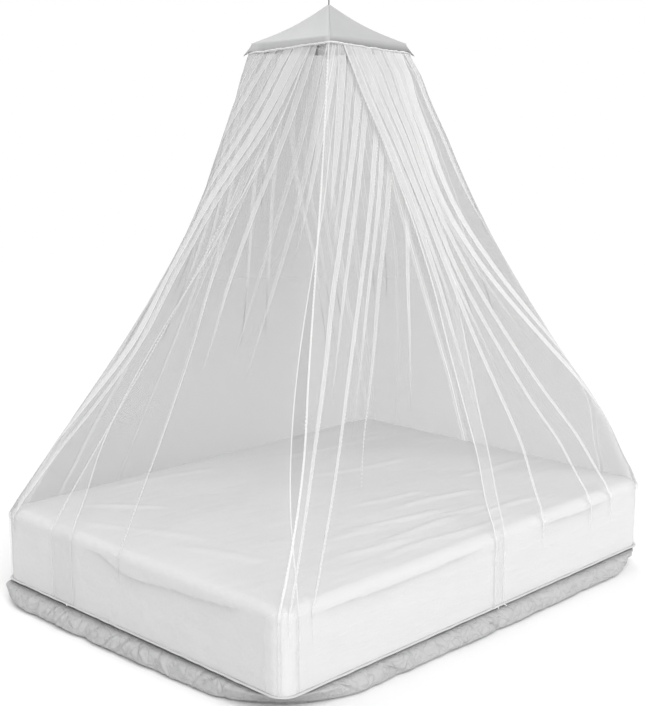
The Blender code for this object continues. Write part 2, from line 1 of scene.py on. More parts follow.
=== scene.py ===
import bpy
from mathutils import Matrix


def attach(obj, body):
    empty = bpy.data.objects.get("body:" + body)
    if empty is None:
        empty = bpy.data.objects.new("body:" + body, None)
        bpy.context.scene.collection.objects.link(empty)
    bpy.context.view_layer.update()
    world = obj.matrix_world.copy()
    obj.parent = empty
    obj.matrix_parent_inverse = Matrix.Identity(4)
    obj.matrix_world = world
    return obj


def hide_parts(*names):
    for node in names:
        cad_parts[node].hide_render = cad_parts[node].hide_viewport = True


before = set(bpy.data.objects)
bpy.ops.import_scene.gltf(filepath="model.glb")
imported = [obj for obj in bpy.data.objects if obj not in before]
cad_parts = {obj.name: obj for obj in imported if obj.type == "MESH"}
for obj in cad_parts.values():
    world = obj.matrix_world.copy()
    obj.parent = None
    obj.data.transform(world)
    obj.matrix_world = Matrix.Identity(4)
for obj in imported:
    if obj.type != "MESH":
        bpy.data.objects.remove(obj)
"""Mosquito net canopy and mattress: cloth, stitching, materials and stage over the CAD frame.

Metres, +Z up. +X is the mattress's right side and -Y its foot. A place around the canopy is
counted in sides: 0 is the left foot corner, 1 the right foot corner, 2 the right head corner
and 3 the left head corner. A way down the net is 0 at the rim, 1 at the mattress's edge and 2
at the seam.
"""
import math
import random

import bmesh
import bpy
from bpy.props import FloatProperty, FloatVectorProperty, IntProperty, PointerProperty
from mathutils import Vector, noise

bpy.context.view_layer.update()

bl_info = {
    "name": "Mosquito Net Canopy",
    "version": (1, 0, 0),
    "blender": (4, 5, 0),
    "location": "3D View > Sidebar > Canopy",
    "description": "Cloth, stitching and stage of a net canopy hung over a mattress",
    "category": "Object",
}

# ---------------------------------------------------------------- sizes shared with the CAD
MATTRESS_WIDTH, MATTRESS_LENGTH, MATTRESS_THICKNESS = 1.50, 2.00, 0.262
MATTRESS_CORNER, MATTRESS_EDGE = 0.050, 0.034
BASE_HEIGHT, BASE_INSET, BASE_CORNER = 0.093, 0.160, 0.050
RIM_SHIFT = (-0.016, -0.016)
FRAME_HEIGHT, FRAME_WIRE, FRAME_LIFT = 2.042, 0.004, 0.018
CAP_TIP_HEIGHT, CAP_HALF, CAP_CORNER, TIP_CORNER = 2.190, 0.205, 0.026, 0.008
CAP_SAG, TIP_HOLE, CAP_SHOULDER, GORE_INSET = 0.012, 0.006, 0.0022, 0.00025
RIM_HEIGHT, RIM_HALF, RIM_CORNER = 2.012, 0.210, 0.026
RIM_LIFT, RIM_LIFT_FADE = 0.030, 0.25
BINDING_HEIGHT = 0.0045
RIM_BINDING = (-0.003, 0.0125)
SEAM_BINDING = (0.0020, 0.0115)
NET_CLEAR, NET_ROUND, EDGE_DROP = 0.0042, 0.10, 0.020
SEAM_HEIGHT, SEAM_GAP = 0.084, 0.0003
MATTRESS_TOP = BASE_HEIGHT + SEAM_GAP + MATTRESS_THICKNESS
EDGE_HEIGHT = MATTRESS_TOP - EDGE_DROP
# How far the tent's wall bows in around it, in its upper and its lower half: place, share.
UPPER_BOW = ((0.0, 0.095), (0.5, 0.080), (1.0, 0.050), (1.5, 0.055),
             (2.0, 0.075), (2.5, 0.060), (3.0, 0.050), (3.5, 0.075), (4.0, 0.095))
LOWER_BOW = ((0.0, 0.042), (0.5, 0.015), (1.0, 0.010), (1.5, 0.010),
             (2.0, 0.005), (2.5, 0.010), (3.0, 0.010), (3.5, 0.015), (4.0, 0.042))
# From layer to layer where panels lap: way down, distance.
LAYER_GAP = ((0.0, 0.0040), (0.06, 0.014), (0.20, 0.024), (0.80, 0.022),
             (0.96, 0.008), (1.0, 0.0030), (2.0, 0.0030))
# The valance, over the frame and out from it.
VALANCE = ((0.0036, 0.0004), (-0.0060, 0.0022), (-0.0150, 0.0050), (-0.0245, 0.0080))
VALANCE_FLARE, VALANCE_DROP, FLARE_WIDTH, FLARED_CORNERS = 0.024, 0.014, 0.16, (0, 2, 3)
SEAM_OUT = 0.0090
# The skirt from its seam to the base, then where round it the cloth reaches out and how round
# its corners are, as shares, and its deep creases: place, width, depth.
SKIRT_KEYS = ("height", "out_end", "out_side", "corner")
SKIRT_SECTION = (
    (0.0774, SEAM_OUT, SEAM_OUT, 0.058),
    (0.0690, 0.0260, 0.0200, 0.095),
    (0.0480, 0.0500, 0.0380, 0.220),
    (0.0240, 0.0600, 0.0450, 0.280),
    (0.0100, 0.0530, 0.0390, 0.300),
    (0.0035, 0.0320, 0.0200, 0.300),
    (0.0000, -0.0250, -0.0250, 0.270),
    (0.0000, 0.0005 - BASE_INSET, 0.0005 - BASE_INSET, 0.5 * BASE_CORNER),
)
SKIRT_ROLL = (1, 5)             # first and last row of its puffed roll
SKIRT_REACH = ((0.0, 1.0), (0.3, 1.0), (0.55, 0.85), (0.8, 0.55), (1.0, 0.45), (1.25, 0.7),
               (1.5, 1.0), (2.7, 1.0), (3.0, 0.8), (3.5, 1.0), (4.0, 1.0))
SKIRT_ROUND = ((0.0, 0.7), (0.5, 1.0), (1.0, 1.35), (1.5, 1.0), (2.0, 1.0), (3.5, 1.0),
               (4.0, 0.7))
SKIRT_CREASES = (
    (0.16, 0.05, 0.010), (0.36, 0.07, 0.016), (0.62, 0.06, 0.014),
    (0.86, 0.05, 0.010), (1.24, 0.04, 0.012), (1.52, 0.06, 0.012),
    (1.78, 0.05, 0.010), (2.30, 0.06, 0.012), (2.60, 0.057, 0.012),
    (3.22, 0.06, 0.012), (3.52, 0.06, 0.012), (3.80, 0.05, 0.010),
)
# Painted light and shade on each gore, and painted shade on its valance's hem: foot, side, head,
# left.
GORE_PAINTED_LIGHT = (1.18, 1.0, 0.95, 0.95)
VALANCE_PAINTED_SHADE = (0.60, 0.10, 0.5, 0.5)
# Corners of a rectangle, and the way to the next one.
CORNERS = ((-1, -1), (1, -1), (1, 1), (-1, 1))
ALONG = ((1, 0), (0, 1), (-1, 0), (0, -1))
# Mesh columns and rows, folds and seeds.
GORE_COLUMNS, GORE_ROWS, VALANCE_ROWS = 49, 22, 8
SHEET_COLUMNS, SHEET_TOP_ROWS, SHEET_TURN_ROWS, SHEET_SIDE_ROWS = 720, 58, 8, 44
SKIRT_STEPS, ROLL_ROWS, FLOOR_ROWS, SKIRT_FOLDS, SKIRT_SEED = 1200, 7, 3, 54, 5
# Spacing and length of the stitches on the cap and on the skirt, which are coarser than the
# tapes' own, and where the skirt's row runs.
CAP_STITCH, SKIRT_STITCH = (0.006, 0.004), (0.008, 0.005)
SEWN_OUT, SEWN_HEIGHT, SEWN_CORNER = SEAM_OUT + 0.0065, 0.0745, 0.066
# The stage: the floor and where it fades, each light's azimuth and height in degrees, and the
# camera that the photograph was matched with.
FLOOR_RADIUS, FLOOR_DROP, FLOOR_FADE = 30.0, 0.0005, (3.0, 11.0)
LIGHTS = (("key", 66, 42), ("fill", 246, 45))
LIGHT_SPREAD, LIGHT_DISTANCE = 60, 6.0
CAMERA_PLACE, CAMERA_DIP, CAMERA_TURN = (3.4165, -3.5461, 1.8608), 11.797, 44.465
CAMERA_LENS, CAMERA_SHIFT = 67.23, 0.027

# ---------------------------------------------------------------- creases of the sheet
# Across its top: from, to, width, height.
SHEET_CREASES = (
    ((0.540, -0.960), (0.522, -0.870), 0.012, 0.5), ((0.522, -0.872), (0.584, -0.798), 0.012, 0.5),
    ((0.580, -0.799), (0.712, -0.794), 0.012, 0.5),
    ((0.527, -0.360), (0.551, 0.116), 0.030, 1.0), ((0.379, -0.351), (0.443, 0.151), 0.030, 0.9),
    ((0.394, -0.430), (0.429, -0.140), 0.024, 0.6), ((0.315, -0.011), (0.372, 0.420), 0.030, 0.8),
    ((0.168, -0.083), (0.242, 0.294), 0.030, 0.6), ((0.569, 0.168), (0.613, 0.502), 0.028, 0.8),
    ((0.508, -0.527), (0.597, -0.199), 0.028, 0.8), ((0.479, 0.010), (0.524, 0.302), 0.026, 0.7),
    ((0.640, -0.420), (0.668, 0.250), 0.022, 0.7), ((-0.55, -0.80), (-0.30, -0.55), 0.040, 0.6),
    ((-0.40, -0.90), (0.10, -0.72), 0.040, 0.5), ((0.05, -0.86), (0.42, -0.70), 0.036, 0.6),
    ((-0.66, -0.60), (-0.58, -0.10), 0.036, 0.5), ((-0.20, 0.10), (-0.10, 0.60), 0.036, 0.5),
    ((-0.50, 0.20), (-0.45, 0.80), 0.034, 0.5), ((0.20, 0.50), (0.26, 0.92), 0.034, 0.5),
)
# Its hem, out from the mattress and height, hanging just over the seam's tape.
SHEET_HEM = ((0.0, 0.0830), (-0.003, 0.0815), (-0.012, 0.0830), (-0.028, 0.0880))
# Across its sides: a line of places and heights, above which it is thicker.
SIDE_FOLDS = (
    ((0.29, 0.350), (0.34, 0.330), (0.51, 0.278), (0.70, 0.297), (0.85, 0.311), (0.91, 0.350)),
    ((1.03, 0.345), (1.10, 0.322), (1.22, 0.312), (1.40, 0.316), (1.50, 0.335), (1.53, 0.350)),
    ((1.62, 0.345), (1.70, 0.318), (1.80, 0.312), (1.94, 0.345)),
    ((2.10, 0.345), (2.30, 0.300), (2.60, 0.295), (2.85, 0.345)),
    ((3.15, 0.345), (3.35, 0.315), (3.60, 0.300), (3.85, 0.345)),
)

# ---------------------------------------------------------------- folds of the net
# Ways down at which a fold's line is set, then a row for each fold that shows:
# pleats laid between it and the row before, width at the rim and at the edge, way down at
# which it has opened out, beads along it, and its places.
GUIDE_DOWNS = (0.0, 0.15, 0.30, 0.45, 0.60, 0.75, 0.90, 1.0)
GUIDE_KEYS = ("before", "rim_w", "edge_w", "end", "beads", "places")
FOOT_GUIDES = (
    (0, 0.008, 0.004, 9.0, 1, (0.40, 0.36, 0.30, 0.25, 0.22, 0.205, 0.20, 0.20)),
    (2, 0.034, 0.005, 1.1, 1, (0.748, 0.535, 0.392, 0.38, 0.43, 0.457, 0.466, 0.468)),
    (2, 0.032, 0.000, 0.66, 0, (1.016, 0.936, 0.87, 0.805, 0.76, 0.74, 0.73, 0.73)),
    (1, 0.004, 0.0035, 9.0, 0, (1.12, 1.048, 1.02, 0.99, 0.977, 0.985, 1.01, 1.03)),
)
SIDE_GUIDES = (
    (0, 0.004, 0.006, 9.0, 1, (0.985, 0.992, 0.998, 1.003, 1.007, 1.012, 1.003, 0.990)),
    (2, 0.036, 0.005, 1.05, 1, (1.352, 1.215, 1.127, 1.072, 1.052, 1.034, 1.020, 1.010)),
    (1, 0.030, 0.007, 1.2, 1, (1.596, 1.385, 1.275, 1.193, 1.138, 1.103, 1.074, 1.058)),
    (1, 0.028, 0.000, 0.82, 1, (1.708, 1.512, 1.383, 1.280, 1.222, 1.175, 1.165, 1.160)),
    (2, 0.008, 0.0045, 9.0, 0, (1.88, 1.80, 1.72, 1.65, 1.60, 1.565, 1.55, 1.545)),
)
HEAD_GUIDES = (
    (0, 0.008, 0.0045, 9.0, 1, (1.14, 1.35, 1.46, 1.50, 1.50, 1.50, 1.503, 1.515)),
    (2, 0.036, 0.008, 1.05, 0, (1.30, 1.46, 1.56, 1.60, 1.62, 1.642, 1.655, 1.66)),
    (1, 0.034, 0.008, 1.05, 0, (1.42, 1.53, 1.60, 1.64, 1.69, 1.735, 1.79, 1.815)),
    (1, 0.034, 0.010, 1.05, 0, (1.54, 1.60, 1.645, 1.70, 1.755, 1.805, 1.86, 1.885)),
    (1, 0.036, 0.018, 1.2, 0, (1.66, 1.67, 1.70, 1.79, 1.89, 1.965, 2.01, 2.02)),
    (1, 0.036, 0.018, 1.2, 0, (1.80, 1.78, 1.785, 1.86, 1.94, 2.02, 2.09, 2.12)),
    (5, 0.012, 0.012, 9.0, 0, (2.56, 2.563, 2.57, 2.578, 2.585, 2.59, 2.597, 2.60)),
)
LEFT_GUIDES = (
    (0, 0.012, 0.010, 9.0, 0, (2.564, 2.567, 2.574, 2.582, 2.589, 2.594, 2.60, 2.602)),
    (0, 0.024, 0.005, 1.1, 1, (2.66, 2.65, 2.655, 2.69, 2.76, 2.81, 2.86, 2.87)),
    (2, 0.030, 0.006, 1.1, 0, (2.90, 2.92, 2.94, 2.95, 2.958, 2.965, 2.968, 2.968)),
    (0, 0.030, 0.006, 1.1, 0, (3.05, 3.05, 3.04, 3.03, 3.018, 3.004, 2.996, 2.996)),
    (2, 0.028, 0.000, 0.75, 0, (3.36, 3.345, 3.26, 3.17, 3.13, 3.11, 3.10, 3.10)),
    (0, 0.028, 0.000, 0.70, 0, (3.50, 3.48, 3.45, 3.41, 3.38, 3.36, 3.35, 3.35)),
    (1, 0.028, 0.000, 0.70, 0, (3.66, 3.62, 3.57, 3.51, 3.47, 3.45, 3.44, 3.43)),
    (2, 0.030, 0.004, 1.0, 0, (3.98, 3.90, 3.82, 3.77, 3.75, 3.74, 3.74, 3.74)),
    (2, 0.032, 0.014, 1.2, 0, (4.34, 4.08, 3.93, 3.90, 3.89, 3.88, 3.88, 3.88)),
    (1, 0.036, 0.020, 1.2, 0, (4.53, 4.26, 4.05, 4.00, 4.01, 3.99, 3.965, 3.960)),
    (0, 0.050, 0.026, 1.2, 0, (4.655, 4.385, 4.145, 4.08, 4.10, 4.05, 3.995, 3.985)),
    (0, 0.036, 0.014, 1.2, 0, (4.745, 4.50, 4.25, 4.17, 4.17, 4.12, 4.06, 4.04)),
    (0, 0.008, 0.003, 9.0, 0, (4.80, 4.612, 4.44, 4.326, 4.255, 4.245, 4.275, 4.288)),
)
# Panel, its guides, its layer at its first and last hem, its flat size and its random seed.
NET_PANELS = (
    ("foot", FOOT_GUIDES, 0.0, 0.0, (1.30, 2.06), 11),
    ("side", SIDE_GUIDES, 1.0, 1.0, (1.35, 2.06), 23),
    ("head", HEAD_GUIDES, 2.0, 1.0, (2.30, 2.06), 37),
    ("left", LEFT_GUIDES, 1.0, 1.0, (3.40, 2.06), 41),
)
# Across a pleat: position in its widths, layers over the base, how thickly it is gathered.
PLEAT = (
    (-0.60, 0.0, 0.0), (-0.50, 1.8, 0.42), (-0.43, 2.0, 0.10), (0.42, 2.0, 0.10),
    (0.46, 2.0, 0.55), (0.50, 1.5, 0.92), (0.47, 1.0, 0.20), (-0.44, 1.0, 0.08),
    (-0.48, 0.5, 0.25), (-0.44, 0.0, 0.0), (0.50, 0.0, 0.0), (0.60, 0.0, 0.0),
)
FIRST_HEM = ((1.0, 1.6, 0.4), (0.0, 1.6, 0.4), (-0.05, 0.8, 0.6), (0.0, 0.0, 0.4),
             (1.0, 0.0, 0.4), (1.3, 0.0, 0.0))
# How far a fold of the far panels is spared their painted shade and dense cover, and looks as clear
# and white as the near ones.
FOLD_CLEAR = 0.8
# Ways down at which the net has a row of points.
NET_ROWS = ([0.0, 0.006, 0.014, 0.026] + [0.045 + 0.0225 * step for step in range(41)]
            + [0.962, 0.978, 0.99, 1.0, 1.03, 1.10, 1.25, 1.45, 1.65, 1.82, 1.94, 2.0])


# ---------------------------------------------------------------- settings
def length(name, text, value):
    """A length in metres that a user may change."""
    return FloatProperty(name=name, description=text, default=value, min=0.0,
                         subtype="DISTANCE", unit="LENGTH", precision=4)


def share(name, text, value):
    """A share from 0 to 1 that a user may change."""
    return FloatProperty(name=name, description=text, default=value, min=0.0, max=1.0,
                         subtype="FACTOR")


def colour(name, text, value):
    """A colour that a user may change."""
    return FloatVectorProperty(name=name, description=text, default=value, min=0.0, max=1.0,
                               size=3, subtype="COLOR")


class NetSettings(bpy.types.PropertyGroup):
    """The sheer panels."""
    tint: colour("Net", "Colour of the net's threads", (0.78, 0.78, 0.78))
    # Painted highlight: folds and hems are drawn in this colour, whiter than the same thread
    # elsewhere.
    edge: colour("Edge", "Colour of a fold's edge and of a hem", (0.95, 0.95, 0.95))
    pitch: length("Mesh", "From thread to thread", 0.0026)
    # Painted shade: the head and left panels are drawn denser and in darker thread than the foot
    # and right side, for their inner side in shade.
    near_cover: share("Near cover", "How much one layer hides at the foot and right side", 0.14)
    far_cover: share("Far cover", "How much one layer hides at the head and left side", 0.57)
    head_painted_shade: share("Head tone", "Shade of a single layer at the head", 0.45)
    left_painted_shade: share("Left tone", "Shade of a single layer at the left side", 0.28)
    gathered: share("Gathered cover", "How much a fold's edge or a hem hides", 0.85)
    ply: length("Ply", "Between the layers of a pleat", 0.0011)
    wave: length("Wave", "How far the net swings between its folds", 0.0075)


class CapSettings(bpy.types.PropertyGroup):
    """The cap and the bindings."""
    tint: colour("Cap", "Colour of the cap's cloth", (0.475, 0.477, 0.480))
    tape: colour("Tape", "Colour of the bindings, ties and thread", (0.90, 0.90, 0.895))
    ruffle: length("Ruffle", "How far the rim's tape ruffles", 0.0022)
    crease: length("Crease", "Depth of the creases in the cap", 0.0016)


class BedSettings(bpy.types.PropertyGroup):
    """The fitted sheet and the skirt."""
    sheet: colour("Sheet", "Colour of the fitted sheet", (0.71, 0.71, 0.71))
    skirt: colour("Skirt", "Colour of the skirt", (0.49, 0.49, 0.492))
    crease: length("Crease", "Height of the creases in the sheet", 0.0085)
    wrinkle: length("Wrinkle", "Depth of the skirt's small wrinkles", 0.0034)
    tuck: length("Tuck", "How far the skirt draws in under its seam", 0.0260)
    loft: length("Loft", "Sheet over the mattress", 0.0010)


class StitchSettings(bpy.types.PropertyGroup):
    """Rows of stitches and beads."""
    spacing: length("Spacing", "From stitch to stitch", 0.0065)
    size: length("Length", "Length of a stitch", 0.0042)
    thread: length("Thread", "Radius of the thread", 0.00045)
    bead_spacing: length("Bead spacing", "From bead to bead along a beaded fold", 0.013)
    bead: length("Bead", "Radius of a bead", 0.0010)
    seed: IntProperty(name="Seed", description="Unevenness of the stitches", default=7)


class StageSettings(bpy.types.PropertyGroup):
    """Floor, lights and camera."""
    floor: colour("Floor", "Colour of the floor", (0.90, 0.90, 0.90))
    backdrop: share("Backdrop", "Brightness behind the floor", 1.0)
    ambient: share("Ambient", "Light from all around", 0.48)
    key: FloatProperty(name="Key", description="Strength of the main light", default=2.5, min=0.0)
    fill: FloatProperty(name="Fill", description="Strength of the light behind", default=1.0,
                        min=0.0)


# ---------------------------------------------------------------- geometry helpers
def mix(a, b, t):
    """Value between a and b."""
    return a + (b - a) * t


def capped(value):
    """Value held between 0 and 1."""
    return min(1.0, max(0.0, value))


def between(table, x):
    """Value of a two-column table at x, smoothly between its rows."""
    for (x0, y0), (x1, y1) in zip(table, table[1:]):
        if x <= x1:
            t = max(0.0, (x - x0) / (x1 - x0))
            return mix(y0, y1, t * t * (3 - 2 * t))
    return table[-1][1]


def flowing(values, down):
    """Place on a guide at a way down: a smooth curve through its places."""
    if down >= 1.0:
        return values[-1]
    for at in range(len(GUIDE_DOWNS) - 1):
        if down <= GUIDE_DOWNS[at + 1]:
            break
    x0, x1 = GUIDE_DOWNS[at], GUIDE_DOWNS[at + 1]

    def slope(k):
        low, high = max(0, k - 1), min(len(values) - 1, k + 1)
        return (values[high] - values[low]) / (GUIDE_DOWNS[high] - GUIDE_DOWNS[low])

    t, run = (down - x0) / (x1 - x0), x1 - x0
    return (values[at] * (1 + 2 * t) * (1 - t) ** 2 + values[at + 1] * t * t * (3 - 2 * t)
            + run * (slope(at) * t * (1 - t) ** 2 - slope(at + 1) * t * t * (1 - t)))


def around(place, half_x, half_y, radius):
    """Point and outward normal at a place on a rounded rectangle."""
    side = math.floor(place) % 4
    corner, along = CORNERS[side], ALONG[side]
    normal = (along[1], -along[0])
    half = half_x if along[0] else half_y
    arc = math.pi * radius / 4
    straight = 2 * half - 2 * radius
    run = (place - math.floor(place)) * (straight + 2 * arc)
    start = (corner[0] * half_x + (along[0] - normal[0]) * radius,
             corner[1] * half_y + (along[1] - normal[1]) * radius)
    if run < arc:
        turn, shift = -math.pi / 4 * (1 - run / arc), 0.0
    elif run > straight + arc:
        turn, shift = math.pi / 4 * (run - straight - arc) / arc, straight
    else:
        turn, shift = 0.0, run - arc
    facing = (normal[0] * math.cos(turn) - normal[1] * math.sin(turn),
              normal[0] * math.sin(turn) + normal[1] * math.cos(turn))
    return ((start[0] + along[0] * shift + facing[0] * radius,
             start[1] + along[1] * shift + facing[1] * radius), facing)


def side_length(side, half_x, half_y, radius):
    """Length of one side of a rounded rectangle, from corner to corner."""
    half = half_x if ALONG[side % 4][0] else half_y
    return 2 * half - 2 * radius + math.pi * radius / 2


def at_rim(place, half, radius):
    """Point and outward normal at a place on a rounded square around the cap's middle."""
    (x, y), facing = around(place, half, half, radius)
    return (x + RIM_SHIFT[0], y + RIM_SHIFT[1]), facing


def outward(found, out):
    """A point moved along the normal that it was found with."""
    (x, y), facing = found
    return x + facing[0] * out, y + facing[1] * out


def raised(x, y, lift):
    """Height that a point near the rim gains from the lift at the right foot corner."""
    toward = (x - RIM_SHIFT[0] - y + RIM_SHIFT[1]) / (2 * RIM_HALF)
    return lift * max(0.0, toward) ** 1.25


def flare(where):
    """How much the valance flares at a place around it: 1 at a corner that does."""
    off = min(abs((where - corner + 2) % 4 - 2) for corner in FLARED_CORNERS)
    return math.cos(math.pi / 2 * min(1.0, off / FLARE_WIDTH)) ** 2


def hump(down, early, late):
    """Rise to 1 and fall back to 0 on the way down."""
    peak = early / (early + late)
    return (down / peak) ** early * ((1 - down) / (1 - peak)) ** late


def wall_point(place, down, lift):
    """Point of the tent's wall, lifted outward."""
    edge_x, edge_y = MATTRESS_WIDTH / 2, MATTRESS_LENGTH / 2
    if down > 1.0:
        half_x, half_y = edge_x + NET_CLEAR, edge_y + NET_CLEAR
        radius = MATTRESS_CORNER + NET_CLEAR
        height = mix(EDGE_HEIGHT, SEAM_HEIGHT, down - 1.0)
    else:
        spread = (down - between(UPPER_BOW, place % 4) * hump(down, 1.2, 2.4)
                  - between(LOWER_BOW, place % 4) * hump(down, 2.5, 1.2))
        swell = 4 * down * (1 - down) * (NET_ROUND - MATTRESS_CORNER)
        clear = NET_CLEAR * down
        half_x = mix(RIM_HALF, edge_x, spread) + clear
        half_y = mix(RIM_HALF, edge_y, spread) + clear
        radius = mix(RIM_CORNER, MATTRESS_CORNER, down) + swell + clear
        height = mix(RIM_HEIGHT, EDGE_HEIGHT, down)
    (x, y), _ = around(place, half_x + lift, half_y + lift, radius + lift)
    above = 1.0 - min(down, 1.0)
    x += RIM_SHIFT[0] * above
    y += RIM_SHIFT[1] * above
    pulled = RIM_LIFT * max(0.0, 1.0 - down / RIM_LIFT_FADE) ** 2
    return (x, y, height + raised(x, y, pulled))


def wall_facing(place, down):
    """Outward normal of the tent's wall."""
    low, high = max(0.0, down - 0.01), min(2.0, down + 0.01)
    along = Vector(wall_point(place + 0.004, down, 0)) - Vector(wall_point(place - 0.004, down, 0))
    fall = Vector(wall_point(place, high, 0)) - Vector(wall_point(place, low, 0))
    return fall.cross(along).normalized()


def wall_side(place, down):
    """Length of the tent's side that a place is on, at a way down."""
    side = math.floor(place)
    rim = side_length(side, RIM_HALF, RIM_HALF, RIM_CORNER)
    edge = side_length(side, MATTRESS_WIDTH / 2, MATTRESS_LENGTH / 2, MATTRESS_CORNER)
    return mix(rim, edge, min(down, 1.0))


def ripple(x, y, seed=0.0):
    """Smooth uneven value from about -1 to 1."""
    return (math.sin(x * 1.00 + 1.7 * math.sin(y * 0.61 + seed) + seed)
            * math.cos(y * 0.83 + 1.3 * math.sin(x * 0.47 - seed)))


def crumple(point):
    """Sharp-edged uneven creases, from 0 on a ridge to about 1 in a hollow."""
    here = abs(noise.noise(point)) + 0.5 * abs(noise.noise(point * 2.03 + Vector((5, 3, 1))))
    return min(1.0, 1.8 * here)


def grid_mesh(name, columns, rows, place, closed=False):
    """Quad mesh with a point for each column and row, and a weave map in metres.

    place(column, row) gives a point, or a point and the values that it carries.
    """
    points, carried = [], {}
    for row in range(rows):
        for column in range(columns):
            made = place(column, row)
            if len(made) == 2:
                made, values = made
                for key, value in values.items():
                    carried.setdefault(key, []).append(value)
            points.append(Vector(made))
    wrap = columns if closed else columns - 1
    faces = []
    for row in range(rows - 1):
        for column in range(wrap):
            a, b = row * columns + column, row * columns + (column + 1) % columns
            faces.append((a, a + columns, b + columns, b))
    mesh = bpy.data.meshes.new(name)
    mesh.from_pydata(points, [], faces)

    def run(row, column, other_row, other_column):
        return (points[row * columns + column % columns]
                - points[other_row * columns + other_column % columns]).length

    across = [[0.0] for _ in range(rows)]
    along = [[0.0] * (columns + 1)]
    for row in range(rows):
        for column in range(1, columns + 1):
            across[row].append(across[row][-1] + run(row, column, row, column - 1))
        if row:
            along.append([along[-1][column] + run(row, column, row - 1, column)
                          for column in range(columns + 1)])
    weave = mesh.uv_layers.new(name="weave")
    loops = iter(weave.data)
    for row in range(rows - 1):
        for column in range(wrap):
            for down, over in ((0, 0), (1, 0), (1, 1), (0, 1)):
                r, c = row + down, column + over
                next(loops).uv = (across[r][c], along[r][c])
    mesh.shade_smooth()
    facing = carried.pop("facing", None)
    for key, values in carried.items():
        mesh.attributes.new(key, "FLOAT", "POINT").data.foreach_set("value", values)
    if facing:
        turned = []
        for face in mesh.polygons:
            for vertex in face.vertices:
                same_way = face.normal.dot(facing[vertex]) >= 0
                turned.append(facing[vertex] if same_way else -facing[vertex])
        mesh.normals_split_custom_set(turned)
    return mesh


def add_piece(name, mesh, look, replaced=()):
    """Piece on the root body, with its material and the nodes that it stands for."""
    made = bpy.data.objects.new(name, mesh)
    mesh.materials.clear()
    mesh.materials.append(look)
    bpy.context.scene.collection.objects.link(made)
    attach(made, "root")
    if replaced:
        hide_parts(*replaced)
    return made


# ---------------------------------------------------------------- materials
class Nodes:
    """Short way to fill a node tree."""

    def __init__(self, tree):
        self.tree = tree

    def node(self, kind, inputs=(), **settings):
        """New node; each input is given a value or the output that feeds it."""
        made = self.tree.nodes.new(kind)
        for name, value in settings.items():
            setattr(made, name, value)
        for socket, value in dict(inputs).items():
            self.put(made.inputs[socket], value)
        return made

    def value(self, kind, inputs=(), **settings):
        """First output of a new node."""
        return self.node(kind, inputs, **settings).outputs[0]

    def put(self, socket, value):
        if isinstance(value, bpy.types.NodeSocket):
            self.tree.links.new(value, socket)
        elif hasattr(value, "__len__") and len(value) == 3 and socket.type == "RGBA":
            socket.default_value = (*value, 1.0)
        else:
            socket.default_value = value

    def math(self, operation, *values):
        return self.value("ShaderNodeMath", enumerate(values), operation=operation)


class Graph(Nodes):
    """Short way to write a material's nodes."""

    def __init__(self, name):
        self.made = bpy.data.materials.new(name)
        self.made.use_nodes = True
        super().__init__(self.made.node_tree)
        self.shader = self.tree.nodes["Principled BSDF"]

    def place(self):
        """Where a point is on its object."""
        return self.node("ShaderNodeTexCoord").outputs["Object"]

    def carried(self, key):
        """Value that the mesh carries at a point."""
        return self.node("ShaderNodeAttribute", attribute_name=key).outputs["Fac"]

    def ramp(self, value, low, high, out_low=0.0, out_high=1.0):
        return self.value("ShaderNodeMapRange", enumerate((value, low, high, out_low, out_high)))

    def mix(self, factor, a, b, blend="MIX"):
        return self.node("ShaderNodeMix", {0: factor, 6: a, 7: b}, data_type="RGBA",
                         blend_type=blend).outputs[2]

    def noise(self, where, scale, detail=3.0, roughness=0.55):
        return self.value("ShaderNodeTexNoise", {"Vector": where, "Scale": scale,
                                                 "Detail": detail, "Roughness": roughness})

    def bands(self, where, scale, distortion):
        return self.node("ShaderNodeTexWave", {"Vector": where, "Scale": scale,
                                               "Distortion": distortion},
                         wave_type="BANDS", bands_direction="DIAGONAL").outputs[1]

    def stretched(self, where, scale):
        return self.value("ShaderNodeMapping", {"Vector": where, "Scale": scale})

    def bump(self, height, strength, distance, under=None):
        given = {"Height": height, "Strength": strength, "Distance": distance}
        return self.value("ShaderNodeBump", given if under is None else dict(given, Normal=under))

    def weave(self, pitch):
        """Threads of the cloth's own map: how much each point is on a thread."""
        at = self.value("ShaderNodeUVMap", uv_map="weave")
        ways = self.node("ShaderNodeSeparateXYZ", {0: at}).outputs
        warp, weft = (self.math("COSINE", self.math("MULTIPLY", way, 2 * math.pi / pitch))
                      for way in (ways[0], ways[1]))
        return warp, weft, at

    def finish(self, **sockets):
        for name, value in sockets.items():
            self.put(self.shader.inputs[name.replace("_", " ")], value)
        return self.made


def darker(tint, factor):
    """A colour times a factor."""
    return tuple(factor * part for part in tint)


